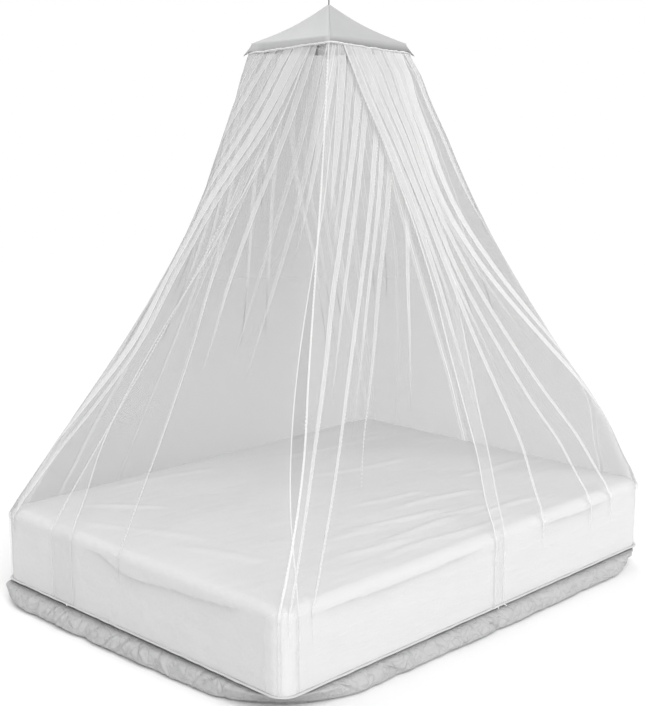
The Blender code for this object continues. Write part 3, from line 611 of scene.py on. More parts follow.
def net_look(name, settings):
    """Sheer net: threads of a fine mesh, thicker where it is folded, with a painted highlight that
    whitens folds and hems and painted shade that darkens the head and left panels.
    """
    graph = Graph(name)
    warp, weft, at = graph.weave(settings.pitch)
    thread = graph.ramp(graph.math("MAXIMUM", warp, weft), 0.1, 1.0)
    # Painted shade: the head and left panels get the denser far cover.
    cover = graph.ramp(graph.carried("near"), 0.0, 1.0, settings.far_cover, settings.near_cover)
    patchy = graph.ramp(graph.noise(at, 210.0, 1.0), 0.3, 0.7, 0.84, 1.16)
    on_thread = graph.ramp(thread, 0.0, 1.0, 0.6, 1.4)
    sheer = graph.math("MULTIPLY", graph.math("MULTIPLY", cover, on_thread), patchy)
    gathered = graph.carried("gathered")
    held = graph.math("MULTIPLY", gathered, settings.gathered)
    clear = graph.math("MULTIPLY", graph.math("SUBTRACT", 1.0, sheer),
                       graph.math("SUBTRACT", 1.0, held))
    # Painted shade from the mesh's tone value.
    shade = graph.value("ShaderNodeCombineColor", dict.fromkeys(range(3), graph.carried("tone")))
    plain = graph.mix(1.0, settings.tint, shade, blend="MULTIPLY")
    # Painted highlight: folds and hems turn to the whiter edge colour.
    tone = graph.mix(graph.ramp(gathered, 0.12, 0.55), plain, settings.edge)
    return graph.finish(Base_Color=tone, Roughness=0.75, Alpha=graph.math("SUBTRACT", 1.0, clear),
                        Normal=graph.bump(thread, 0.1, 0.0003))


def cloth_look(name, tint, pitch, depth, mottle, roughness, crumples, scale,
               stretch=(1.0, 1.0, 1.0), shaded=False, crinkled=False):
    """Woven cloth: threads, an uneven tone, soft crumples, painted shade where the mesh carries a
    shade value and, if wanted, sharp crinkles with painted shade in their creases.
    """
    graph = Graph(name)
    warp, weft, _ = graph.weave(pitch)
    thread = graph.math("MULTIPLY", graph.math("ADD", warp, weft), 0.25)
    place = graph.place()
    cloud, grain = graph.noise(place, 5.0, 4.0), graph.noise(place, 260.0, 2.0)
    tone = graph.mix(graph.ramp(cloud, 0.3, 0.7), darker(tint, 1.0 - mottle), tint)
    tone = graph.mix(graph.ramp(grain, 0.3, 0.8, 0.0, 0.25), tone, darker(tint, 0.9))
    # Painted shade: darker where the mesh's shade value falls, in creases, hollows and under folds.
    if shaded:
        tone = graph.mix(graph.carried("shade"), darker(tint, 0.42), tone)
    folds = graph.noise(graph.stretched(place, stretch), scale, 3.0, 0.5)
    rough = graph.ramp(grain, 0.3, 0.7, roughness - 0.06, roughness + 0.05)
    fine = graph.bump(thread, 0.35, depth)
    if crinkled:
        bent = graph.node("ShaderNodeTexNoise", {"Vector": place, "Scale": 9.0}).outputs[1]
        moved = graph.value("ShaderNodeVectorMath", {0: bent, 1: (0.30, 0.30, 0.30), 2: place},
                            operation="MULTIPLY_ADD")
        cell = graph.node("ShaderNodeTexVoronoi", {"Vector": moved, "Scale": 15.0},
                          feature="DISTANCE_TO_EDGE").outputs["Distance"]
        ridge = graph.math("MULTIPLY", graph.ramp(cell, 0.0, 0.10),
                           graph.ramp(cloud, 0.35, 0.6, 1.0, 0.4))
        # Painted shade: a thin dark line along each crinkle's crease.
        tone = graph.mix(graph.ramp(cell, 0.0, 0.03), darker(tint, 0.82), tone)
        fine = graph.bump(ridge, 0.45, 0.006, fine)
    return graph.finish(Base_Color=tone, Roughness=rough,
                        Normal=graph.bump(folds, crumples, 0.01, fine))


def cord_look(name, tint):
    """Twisted cotton cord."""
    graph = Graph(name)
    twist = graph.bands(graph.place(), 190.0, 1.5)
    return graph.finish(Base_Color=graph.mix(twist, darker(tint, 0.82), tint),
                        Roughness=graph.ramp(twist, 0.0, 1.0, 0.95, 0.8),
                        Normal=graph.bump(twist, 0.5, 0.0005))


def wire_look(name, tint, roughness):
    """Drawn steel wire with faint streaks and wear."""
    graph = Graph(name)
    place = graph.place()
    streak = graph.noise(place, 90.0, 4.0)
    worn = graph.ramp(graph.noise(place, 22.0), 0.5, 0.75)
    return graph.finish(Base_Color=graph.mix(worn, tint, darker(tint, 1.35)), Metallic=1.0,
                        Normal=graph.bump(streak, 0.1, 0.0003),
                        Roughness=graph.ramp(streak, 0.3, 0.7, roughness - 0.06, roughness + 0.1))


def board_look(name, tint):
    """Painted board with grain."""
    graph = Graph(name)
    grain = graph.noise(graph.stretched(graph.place(), (2.0, 22.0, 22.0)), 4.0, 5.0)
    return graph.finish(Base_Color=graph.mix(grain, darker(tint, 0.8), darker(tint, 1.15)),
                        Normal=graph.bump(grain, 0.15, 0.001),
                        Roughness=graph.ramp(grain, 0.3, 0.7, 0.55, 0.75))


def ticking_look(name, tint):
    """Mattress cover under the sheet: soft woven cloth without a map of its own."""
    graph = Graph(name)
    place = graph.place()
    weave, cloud = graph.bands(place, 160.0, 0.4), graph.noise(place, 6.0)
    return graph.finish(Base_Color=graph.mix(graph.ramp(cloud, 0.3, 0.7), darker(tint, 0.93), tint),
                        Normal=graph.bump(weave, 0.2, 0.0004),
                        Roughness=graph.ramp(cloud, 0.3, 0.7, 0.8, 0.9))


# ---------------------------------------------------------------- the net
def panel_folds(guides, seed):
    """Folds of a panel in order: each guide, with the pleats that lie before it."""
    draw = random.Random(seed)
    rows = [dict(zip(GUIDE_KEYS, guide)) for guide in guides]
    folds = []
    for last, row in zip(rows[:1] + rows, rows):
        for step in range(row["before"]):
            part = (step + 1 + draw.uniform(-0.18, 0.18)) / (row["before"] + 1)
            folds.append({
                "places": [mix(a, b, part) for a, b in zip(last["places"], row["places"])],
                "rim_w": draw.uniform(0.026, 0.038), "edge_w": 0.0,
                "end": draw.uniform(0.28, 0.85), "beads": 0, "swing": draw.uniform(-1, 1),
                "dense": draw.uniform(0.0, 0.17),
            })
        folds.append(dict(row, swing=draw.uniform(-1, 1),
                          dense=min(0.32, 0.05 + 11 * row["edge_w"])))
    return folds


def fold_width(fold, down):
    """Width of a pleat at a way down, and how much of it is left."""
    way = min(down, 1.0)
    if fold["end"] > 2.0:
        return mix(fold["rim_w"], fold["edge_w"], way), 1.0
    if fold["edge_w"]:
        left = 1.0 if down <= 1.0 else max(0.0, 1.0 - 2.5 * (down - 1.0))
        return mix(fold["rim_w"], fold["edge_w"], way ** 0.8) * left + 0.0003, left
    part = min(1.0, down / fold["end"])
    return fold["rim_w"] * (1.0 - part ** 1.8) + 0.0003, min(1.0, 3.5 * (1.0 - part))


def panel_stations(folds):
    """Columns of a panel: the fold or the two folds it lies between, and where."""
    stations = []
    for index, fold in enumerate(folds):
        if index == 0:
            profile = FIRST_HEM
        elif index == len(folds) - 1:
            profile = [(-across, level, thick) for across, level, thick in reversed(FIRST_HEM)]
        else:
            profile = PLEAT
        if index:
            stations += [(folds[index - 1], fold, part) for part in (0.2, 0.5, 0.8)]
        stations += [(fold, None, step) for step in profile]
    return stations


def near_share(where):
    """1 on the foot and right sides, 0 on the head and left sides, softly at corners."""
    side = (where + 1.0) % 4 - 1.0
    return capped((side + 0.05) / 0.10) - capped((side - 1.95) / 0.10) if side < 2.6 else 0.0


def make_panel_mesh(name, guides, first_layer, last_layer, seed, settings):
    """Mesh of one panel, and the lines along its hems and beaded folds."""
    folds = panel_folds(guides, seed)
    stations = panel_stations(folds)
    start, end = guides[0][-1][-1], guides[-1][-1][-1]

    def spot(where, down, swing, rise, thick, folded):
        gap = between(LAYER_GAP, down)
        past = max(0.0, 2 * (where - start) / (end - start) - 1)
        layer = mix(first_layer, last_layer, min(1.0, past))
        sway = swing * min(settings.wave, 0.36 * gap) * min(1.0, down / 0.1)
        point = wall_point(where, down, layer * gap + sway + rise)
        near = max(near_share(where), FOLD_CLEAR * folded, capped(20 * (down - 1.0)))
        thick *= mix(1.0, 0.45, capped(8 * (down - 0.97)))
        # Painted shade: darker thread on the head and left panels, lifted at their folds and below
        # the mattress's edge.
        far = mix(settings.head_painted_shade, settings.left_painted_shade, capped(where - 2.5))
        return point, {"gathered": thick, "near": near, "tone": mix(far, 1.0, near),
                       "facing": wall_facing(where, down)}

    def column_at(station, down):
        fold, after, step = station
        if after:
            gone = [fold_width(one, down)[0] * 0.62 for one in (fold, after)]
            low = flowing(fold["places"], down)
            high = flowing(after["places"], down)
            low += gone[0] / wall_side(low, down)
            high -= gone[1] / wall_side(high, down)
            ease = step * step * (3 - 2 * step)
            swing = mix(fold["swing"], after["swing"], ease)
            return spot(mix(low, high, step), down, swing, 0.0, 0.0, 0.0)
        across, level, thick = step
        width, left = fold_width(fold, down)
        where = flowing(fold["places"], down)
        where += across * width / wall_side(where, down)
        ply = min(settings.ply, 0.2 * between(LAYER_GAP, down))
        hem = fold in (folds[0], folds[-1])
        folded = left if (thick if hem else abs(across) <= 0.5) else 0.0
        if not hem and abs(across) <= 0.5:
            thick = min(1.0, thick + fold["dense"])
        return spot(where, down, fold["swing"], level * ply * left, thick * left, folded)

    mesh = grid_mesh(name, len(stations), len(NET_ROWS),
                     lambda column, row: column_at(stations[column], NET_ROWS[row]))
    downs = [step / 60 for step in range(2, 119)]
    seams, beads = [], []
    for index, fold in enumerate(folds):
        hem = index in (0, len(folds) - 1)
        if hem:
            station = (fold, None, (-0.6 if index else 0.6, 1.9, 0))
            seams.append([column_at(station, down)[0] for down in downs])
        if fold["beads"]:
            station = (fold, None, (0.0 if hem else 0.5, 2.4, 0))
            beads.append([column_at(station, down)[0] for down in downs
                          if down < min(fold["end"], 0.98)])
    return mesh, seams, beads


# ---------------------------------------------------------------- rows that repeat
def stitch_tree():
    """Node tree that lays short threads or beads along a line."""
    tree = bpy.data.node_groups.new("stitch_row", "GeometryNodeTree")
    kinds = {"Line": "Geometry", "Spacing": "Float", "Length": "Float", "Radius": "Float",
             "Seed": "Int", "Material": "Material"}
    for name, kind in kinds.items():
        tree.interface.new_socket(name, in_out="INPUT", socket_type="NodeSocket" + kind)
    tree.interface.new_socket("Row", in_out="OUTPUT", socket_type="NodeSocketGeometry")
    nodes = Nodes(tree)
    come = nodes.node("NodeGroupInput").outputs
    line = nodes.value("GeometryNodeMeshToCurve", {0: come["Line"]})
    points = nodes.value("GeometryNodeResampleCurve", {"Curve": line, "Length": come["Spacing"]},
                         mode="LENGTH")
    ball = nodes.node("GeometryNodeMeshUVSphere", {"Segments": 6, "Rings": 4, "Radius": 1.0})
    size = nodes.value("ShaderNodeCombineXYZ", {
        "X": come["Radius"], "Y": come["Radius"], "Z": nodes.math("MULTIPLY", come["Length"], 0.5)})
    uneven = nodes.node("FunctionNodeRandomValue", {2: 0.85, 3: 1.12, "Seed": come["Seed"]},
                        data_type="FLOAT").outputs[1]
    varied = nodes.value("ShaderNodeVectorMath", {0: size, "Scale": uneven}, operation="SCALE")
    turn = nodes.value("FunctionNodeAlignRotationToVector",
                       {"Vector": nodes.value("GeometryNodeInputTangent")}, axis="Z")
    laid = nodes.value("GeometryNodeInstanceOnPoints", {
        "Points": points, "Instance": ball.outputs["Mesh"], "Scale": varied, "Rotation": turn})
    real = nodes.value("GeometryNodeRealizeInstances", {0: laid})
    smooth = nodes.value("GeometryNodeSetShadeSmooth", {0: real})
    painted = nodes.value("GeometryNodeSetMaterial", {"Geometry": smooth,
                                                      "Material": come["Material"]})
    nodes.node("NodeGroupOutput", {0: painted})
    return tree


def stitched(name, lines, spacing, size, radius, seed, look, slot):
    """Piece of stitches laid along lines, as a plain mesh."""
    tree = bpy.data.node_groups.get("stitch_row") or stitch_tree()
    mesh = bpy.data.meshes.new(name + "_line")
    points, edges = [], []
    for line in lines:
        edges += [(len(points) + step, len(points) + step + 1) for step in range(len(line) - 1)]
        points += line
    mesh.from_pydata(points, edges, [])
    guide = bpy.data.objects.new(name + "_line", mesh)
    bpy.context.scene.collection.objects.link(guide)
    row = guide.modifiers.new("row", "NODES")
    row.node_group = tree
    given = {"Spacing": spacing, "Length": size, "Radius": radius, "Seed": seed, "Material": look}
    for item in tree.interface.items_tree:
        if item.in_out == "INPUT" and item.name in given:
            row[item.identifier] = given[item.name]
    bpy.context.view_layer.update()
    graph = bpy.context.evaluated_depsgraph_get()
    made = bpy.data.meshes.new_from_object(guide.evaluated_get(graph))
    made.name = name
    guide.modifiers.clear()
    bpy.data.objects.remove(guide)
    if not made.polygons:
        raise RuntimeError(f"{name}: the stitch row came out empty")
    return add_piece(name, made, look)


# ---------------------------------------------------------------- operators
class CANOPY_OT_net(bpy.types.Operator):
    """Make the four sheer panels with their pleats, hems and beads"""
    bl_idname = "canopy.net"
    bl_label = "Net panels"

    def execute(self, context):
        net, sew = context.scene.canopy_net, context.scene.canopy_stitch
        tape = context.scene.canopy_cap.tape
        thread = cord_look("hem_thread", tape)
        for name, guides, first, last, flat, seed in NET_PANELS:
            piece = "net_" + name
            mesh, seams, beads = make_panel_mesh(piece, guides, first, last, seed, net)
            made = add_piece(piece, mesh, net_look(piece + "_look", net),
                             ("net_panel_" + name,))
            going = [stitched(piece + "_hems", seams, sew.spacing, sew.size, sew.thread,
                              sew.seed + seed, thread, "sheer_net")]
            if beads:
                going.append(stitched(piece + "_beads", beads, sew.bead_spacing,
                                      0.45 * sew.bead_spacing, sew.bead, sew.seed + seed,
                                      thread, "sheer_net"))
        return {"FINISHED"}


class CANOPY_OT_cap(bpy.types.Operator):
    """Make the cap's four gores with their valance, creases and ridge seams"""
    bl_idname = "canopy.cap"
    bl_label = "Cap"

    def execute(self, context):
        cap, sew = context.scene.canopy_cap, context.scene.canopy_stitch
        thread = cord_look("cap_thread", darker(cap.tint, 1.15))
        spreads = [mix(TIP_HOLE / CAP_HALF, 1.0, step / GORE_ROWS) for step in range(GORE_ROWS + 1)]
        falls = [step / VALANCE_ROWS for step in range(1, VALANCE_ROWS + 1)]
        rows = len(spreads) + len(falls)
        shoulder = FRAME_HEIGHT + FRAME_WIRE + CAP_SHOULDER

        def gore_point(side, part, row, lift=0.0):
            edge, fallen, where = math.sin(math.pi * part), 0.0, side + part
            if row < len(spreads):
                spread, out = spreads[row], 0.0
                dip = CAP_SAG * math.sin(math.pi * spread) * mix(1.4, 1.0, spread)
                height = mix(CAP_TIP_HEIGHT, shoulder, spread) - dip
                crease = (ripple(9 * part + 2 * side, 3 * spread, side)
                          + 0.6 * math.sin(24 * part + 3 * side) * spread ** 3)
                height += cap.crease * crease * edge * math.sin(math.pi * min(1.0, 1.05 * spread))
            else:
                fall = falls[row - len(spreads)] * (len(VALANCE) - 1)
                low = min(len(VALANCE) - 2, int(fall))
                rise = mix(VALANCE[low][0], VALANCE[low + 1][0], fall - low)
                out = mix(VALANCE[low][1], VALANCE[low + 1][1], fall - low)
                fallen = fall / (len(VALANCE) - 1)
                spread = 1.0
                height = (FRAME_HEIGHT + rise
                          - VALANCE_DROP * fallen * max(0.0, flare(where) - 0.55) / 0.45)
                out += fallen * (VALANCE_FLARE * flare(where)
                                 + 0.0012 * ripple(34 * part + 5 * side, 2.0, side) * edge)
            half = CAP_HALF * spread + out
            corner = min(0.95 * half, mix(TIP_CORNER, CAP_CORNER, spread) + out)
            inset = GORE_INSET * mix(1.0, -1.0, part)
            (x, y), facing = at_rim(where, half + lift, corner)
            height += raised(x, y, mix(FRAME_LIFT, RIM_LIFT, fallen)) + 0.7 * lift
            # Painted shade: the valance darkens towards its hem, most on the right side.
            shade = mix(1.0, VALANCE_PAINTED_SHADE[side], fallen)
            return (x - facing[1] * inset, y + facing[0] * inset, height), {"shade": shade}

        for side, name in enumerate(("foot", "side", "head", "left")):
            mesh = grid_mesh("cap_" + name, GORE_COLUMNS, rows,
                             lambda c, r: gore_point(side, c / (GORE_COLUMNS - 1), r))
            # Each gore's cloth is lightened or darkened by its side: painted light and shade.
            look = cloth_look("cap_" + name + "_look", darker(cap.tint, GORE_PAINTED_LIGHT[side]),
                              pitch=0.0012, depth=0.0002, mottle=0.06, roughness=0.8,
                              crumples=0.25, scale=22, shaded=True)
            add_piece("cap_" + name, mesh, look, ("cap_gore_" + name,))
        seams = [[gore_point(side, part, row, lift=0.0006)[0] for row in range(1, len(spreads))]
                 for side in range(4) for part in (0.012, 0.988)]
        hems = [[gore_point(side, part / 60, rows - 2, lift=0.0005)[0] for part in range(61)]
                for side in range(4)]
        row = stitched("cap_stitching", seams + hems, *CAP_STITCH, sew.thread, sew.seed, thread,
                       "cap_cloth")
        return {"FINISHED"}


def tape_ring(name, outline, faces, top, ruffle, waves, lift, look, node):
    """Folded tape around an outline, a little uneven."""
    inner, outer = faces
    low = top - BINDING_HEIGHT
    section = ((inner, top - 0.0008), (inner + 0.001, top), (outer - 0.0012, top),
               (outer, top - 0.0016), (outer, low + 0.0016), (outer - 0.0012, low),
               (inner + 0.001, low), (inner, low + 0.0008))      # a rounded, folded edge
    places = []
    for side in range(4):
        places += [side + 0.004 * step for step in range(16)]
        places += [side + mix(0.064, 0.936, step / waves) for step in range(waves + 1)]
        places += [side + 1 - 0.004 * step for step in range(15, 0, -1)]

    def place(column, row):
        where = places[row % len(places)]
        out, height = section[column]
        body = 1.0 if out > mix(inner, outer, 0.5) else 0.15
        out += ruffle * body * ripple(where * 61, where * 23, 1.0)
        x, y = outward(outline(where), out)
        height += 0.8 * ruffle * ripple(where * 53, where * 31, 4.0)
        return (x, y, height + raised(x, y, lift))

    mesh = grid_mesh(name, len(section), len(places) + 1, place, closed=True)
    shape = bmesh.new()
    shape.from_mesh(mesh)
    bmesh.ops.remove_doubles(shape, verts=shape.verts, dist=0.00002)
    bmesh.ops.recalc_face_normals(shape, faces=shape.faces)
    shape.to_mesh(mesh)
    shape.free()
    return add_piece(name, mesh, look, (node,))


class CANOPY_OT_bindings(bpy.types.Operator):
    """Make the folded tapes at the rim and at the seam, with their stitches"""
    bl_idname = "canopy.bindings"
    bl_label = "Bindings"

    def execute(self, context):
        cap, sew = context.scene.canopy_cap, context.scene.canopy_stitch

        def rim_line(place):
            return at_rim(place, RIM_HALF, RIM_CORNER)

        def seam_line(place):
            return around(place, MATTRESS_WIDTH / 2, MATTRESS_LENGTH / 2, MATTRESS_CORNER)

        thread = cord_look("tape_thread", cap.tape)
        # Tape, its line, its faces and top, its ruffle, its waves on a side, its lift, its node.
        kinds = (("rim_tape", rim_line, RIM_BINDING, RIM_HEIGHT + SEAM_GAP + BINDING_HEIGHT,
                  cap.ruffle, 60, RIM_LIFT, "rim_binding"),
                 ("seam_tape", seam_line, SEAM_BINDING, SEAM_HEIGHT - SEAM_GAP, 0.0014, 150,
                  0.0, "seam_binding"))
        for name, outline, faces, top, ruffle, waves, lift, node in kinds:
            # Painted shade: the seam's tape is drawn darker than the same white tape at the rim.
            tint = darker(cap.tape, 0.95 if lift else 0.66)
            look = cloth_look(name + "_look", tint, pitch=0.0011, depth=0.0002, mottle=0.03,
                              roughness=0.85, crumples=0.1, scale=60)
            tape_ring(name, outline, faces, top, ruffle, waves, lift, look, node)
            line = [outward(outline(4 * step / 480), faces[1] + ruffle) for step in range(481)]
            line = [(x, y, top - 0.5 * BINDING_HEIGHT + raised(x, y, lift)) for x, y in line]
            stitched(name + "_stitching", [line], sew.spacing, sew.size, sew.thread, sew.seed,
                     thread, "white_binding")
        return {"FINISHED"}


def side_crease(where, height, size):
    """How far a side of the sheet bulges at a place and height, and how open it is to light: the
    painted shade under its folds.
    """
    edge, most, least, open_share = 0.0025, 0.0031, -0.0007, 1.0
    bulge = 0.10 * size * ripple(where * 26, height * 9 + where * 7, 3.0)
    bulge += 0.10 * size * ripple(where * 9 + 60 * height, 22 * height, 1.0)
    for line in SIDE_FOLDS:
        start, end = line[0][0], line[-1][0]
        if start < where < end:
            over = (height - between(line, where)) / edge
            bulge += 0.34 * size * math.exp(-0.05 * max(0.0, over)) / (1.0 + math.exp(-over))
            # Painted shade: darker just under each fold's line, a little above it.
            fade = min(1.0, 14 * (where - start), 14 * (end - where))
            depth = 0.34 * fade * math.exp(-0.18 * abs(over + 1.0))
            open_share -= depth if over < 0 else 0.25 * depth
    low, high = SHEET_HEM[0][1], MATTRESS_TOP - MATTRESS_EDGE
    ends = min(1.0, 6 * (high - height) / (high - low), 6 * (height - low) / (high - low))
    return min(most, max(least, bulge * max(0.0, ends))), max(0.5, open_share)


def crease_height(x, y):
    """Height of the sheet's creases at a point of the top, as a share."""
    total = 0.35 * ripple(6.1 * x + 1.0, 3.7 * y, 2.0) + 0.2 * ripple(13.0 * x, 8.0 * y, 5.0)
    for (x0, y0), (x1, y1), width, height in SHEET_CREASES:
        run = math.hypot(x1 - x0, y1 - y0)
        along = ((x - x0) * (x1 - x0) + (y - y0) * (y1 - y0)) / run
        off = ((x - x0) * (y1 - y0) - (y - y0) * (x1 - x0)) / run
        off += 0.012 * math.sin(9 * along + 20 * x0)
        end = min(along + 0.06, run - along + 0.06) / 0.14
        if end > 0 and abs(off) < 3 * width:
            total += height * min(1.0, end) ** 2 * math.exp(-(off / width) ** 2 * 3.0)
    return max(-0.15, total)


class CANOPY_OT_sheet(bpy.types.Operator):
    """Make the fitted sheet with its creases over the mattress"""
    bl_idname = "canopy.sheet"
    bl_label = "Fitted sheet"

    def execute(self, context):
        bed = context.scene.canopy_bed
        flat_half = (MATTRESS_WIDTH / 2 - MATTRESS_EDGE, MATTRESS_LENGTH / 2 - MATTRESS_EDGE)
        kinds = (("top", SHEET_TOP_ROWS), ("turn", SHEET_TURN_ROWS), ("side", SHEET_SIDE_ROWS))
        rings = [(kind, step / count) for kind, count in kinds for step in range(1, count + 1)]
        rings += [("under", step) for step in range(len(SHEET_HEM))]
        loft = bed.loft

        def place(column, row):
            kind, part = rings[row]
            where = 4 * column / SHEET_COLUMNS
            if kind == "top":
                radius = mix(0.0, MATTRESS_CORNER - MATTRESS_EDGE, part ** 3)
                (x, y), _ = around(where, flat_half[0] * part, flat_half[1] * part, radius)
                inner = min(1.0, (1 - part) / 0.08 + 0.15)
                rise = crease_height(x, y)
                # Painted shade: the top is a little darker where its creases sink.
                return ((x, y, MATTRESS_TOP + loft + bed.crease * rise * inner + 0.0012 * inner),
                        {"shade": 1.0 - 0.10 * max(0.0, 0.35 - rise)})
            shade = 1.0
            if kind == "turn":
                sine, cosine = math.sin(math.pi / 2 * part), math.cos(math.pi / 2 * part)
                out = -MATTRESS_EDGE * (1 - sine) + loft * sine
                height = MATTRESS_TOP - MATTRESS_EDGE * (1 - cosine) + loft * cosine
            elif kind == "side":
                height = mix(MATTRESS_TOP - MATTRESS_EDGE, SHEET_HEM[0][1], part)
                bulge, shade = side_crease(where, height, bed.crease)
                out = loft + bulge
            else:
                out, height = SHEET_HEM[part]
                out += loft
            (x, y), _ = around(where, MATTRESS_WIDTH / 2 + out, MATTRESS_LENGTH / 2 + out,
                               max(0.003, MATTRESS_CORNER + out))
            return (x, y, height), {"shade": shade}

        mesh = grid_mesh("fitted_sheet", SHEET_COLUMNS, len(rings), place, closed=True)
        shape = bmesh.new()
        shape.from_mesh(mesh)
        shape.verts.ensure_lookup_table()
        shape.faces.new(shape.verts[:SHEET_COLUMNS])
        bmesh.ops.recalc_face_normals(shape, faces=shape.faces)
        shape.to_mesh(mesh)
        shape.free()
        mesh.shade_smooth()
        look = cloth_look("fitted_sheet_look", bed.sheet, pitch=0.0010, depth=0.0001, mottle=0.02,
                          roughness=0.8, crumples=0.45, scale=1.0, stretch=(22.0, 5.0, 22.0),
                          shaded=True)
        made = add_piece("fitted_sheet", mesh, look)
        return {"FINISHED"}


class CANOPY_OT_skirt(bpy.types.Operator):
    """Make the grey tuck-in skirt with its wrinkles"""
    bl_idname = "canopy.skirt"
    bl_label = "Skirt"

    def execute(self, context):
        bed, sew = context.scene.canopy_bed, context.scene.canopy_stitch
        section = [dict(zip(SKIRT_KEYS, row)) for row in SKIRT_SECTION]
        first, last = SKIRT_ROLL
        levels = []
        for row in range(len(section) - 1):
            steps = ROLL_ROWS if row < last else FLOOR_ROWS
            levels += [row + step / steps for step in range(steps)]
        levels.append(len(section) - 1)
        draw = random.Random(SKIRT_SEED)
        folds = [((step + draw.uniform(-0.45, 0.45)) * 4 / SKIRT_FOLDS,
                  draw.uniform(-0.022, 0.022), draw.uniform(0.005, 0.013),
                  draw.uniform(0.003, 0.011)) for step in range(SKIRT_FOLDS)]

        def section_at(level):
            low = min(len(section) - 2, int(level))
            ends = [section[max(0, min(len(section) - 1, low + step))] for step in (-1, 0, 1, 2)]
            t = level - low
            found = {}
            for key in SKIRT_KEYS:
                a, b, c, d = (row[key] for row in ends)
                if low >= last:
                    found[key] = mix(b, c, t)
                else:
                    found[key] = b + 0.5 * t * (c - a + t * (2 * a - 5 * b + 4 * c - d
                                                            + t * (3 * (b - c) + d - a)))
            return found

        def place(column, row):
            where, level = 4 * column / SKIRT_STEPS, levels[row]
            at = section_at(level)
            body = 0.0
            if level < last + 1:
                body = max(0.0, math.sin(math.pi * (level - first + 1) / (last - first + 2)))
            loose = capped(last + 1 - level) * min(1.0, level)
            reach = between(SKIRT_REACH, where)
            out_x, out_y = (mix(at[key], mix(SEAM_OUT, at[key], reach), loose)
                            for key in ("out_side", "out_end"))
            corner = at["corner"] * mix(1.0, between(SKIRT_ROUND, where), loose)
            shrink = 0.002 * body * math.sin(7 * math.pi * where) ** 2
            for crease, width, depth in SKIRT_CREASES:
                off = abs(where - crease) / (0.6 * width)
                shrink += 0.6 * depth * body * max(0.0, 1.0 - off) ** 1.5
            turn = math.pi / 2 * where
            ring = Vector((math.cos(turn), math.sin(turn), 0.0))
            fine = (crumple(ring * 9.0 + Vector((0, 0, 0.55 * level)))
                    + 0.6 * crumple(ring * 24.0 + Vector((0, 0, 0.9 * level))))
            shrink += bed.wrinkle * body * fine
            calm = mix(1.0, 0.28, capped(level - 1.8))
            for start, lean, width, depth in folds:
                off = ((where - start - lean * (level - 2.5) + 2) % 4 - 2) / width
                if abs(off) < 3:
                    shrink -= depth * body * calm * 2.3 * off * math.exp(-off * off)
            tucked = math.exp(-((level - 0.8) / 0.42) ** 2)
            shrink += bed.tuck * tucked * (1.0 + 0.25 * ripple(where * 31, 1.0, 3.0))
            x, y = outward(around(where, MATTRESS_WIDTH / 2 + out_x, MATTRESS_LENGTH / 2 + out_y,
                                  corner), -shrink)
            height = max(0.0006, at["height"] + 0.0006
                         - 0.5 * bed.wrinkle * body * crumple(ring * 17.0 + Vector((0, 0, level))))
            # Painted shade in the tucked valley under the seam, weakest in the middle of the right
            # side.
            valley_painted_shade = mix(0.35, 0.9, min(1.0, 2 * abs(where - 1.5) ** 2))
            return (x, y, height), {"shade": 1.0 - valley_painted_shade * tucked}

        mesh = grid_mesh("skirt_cloth", SKIRT_STEPS, len(levels), place, closed=True)
        look = cloth_look("skirt_look", bed.skirt, pitch=0.0012, depth=0.0002, mottle=0.08,
                          roughness=0.8, crumples=0.9, scale=34, shaded=True, crinkled=True)
        made = add_piece("skirt_cloth", mesh, look, ("skirt",))
        line = [(*around(4 * step / SKIRT_STEPS, MATTRESS_WIDTH / 2 + SEWN_OUT,
                         MATTRESS_LENGTH / 2 + SEWN_OUT, SEWN_CORNER)[0], SEWN_HEIGHT)
                for step in range(SKIRT_STEPS + 1)]
        thread = cord_look("skirt_thread", darker(bed.skirt, 1.1))
        row = stitched("skirt_stitching", [line], *SKIRT_STITCH, sew.thread, sew.seed, thread,
                       "skirt_cloth")
        return {"FINISHED"}


class CANOPY_OT_carried(bpy.types.Operator):
    """Give the mattress, base, frame, hook and ties their materials"""
    bl_idname = "canopy.carried"
    bl_label = "Carried-over pieces"

    def execute(self, context):
        cap, bed = context.scene.canopy_cap, context.scene.canopy_bed
        looks = {
            "mattress": ticking_look("mattress_ticking", darker(bed.sheet, 0.9)),
            "mattress_base": board_look("base_board_look", (0.66, 0.66, 0.66)),
            "spreader_frame": wire_look("frame_wire_look", (0.60, 0.60, 0.62), 0.35),
            "hanging_hook": wire_look("hook_wire_look", (0.10, 0.10, 0.11), 0.40),
        }
        for tie in ("side_tie_loop", "side_tie_end", "foot_tie_end"):
            looks[tie] = cord_look(tie + "_look", cap.tape)
        for name, look in looks.items():
            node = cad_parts[name]
            if not node.material_slots:
                node.data.materials.append(look)
            for slot in node.material_slots:
                slot.material = look
        return {"FINISHED"}


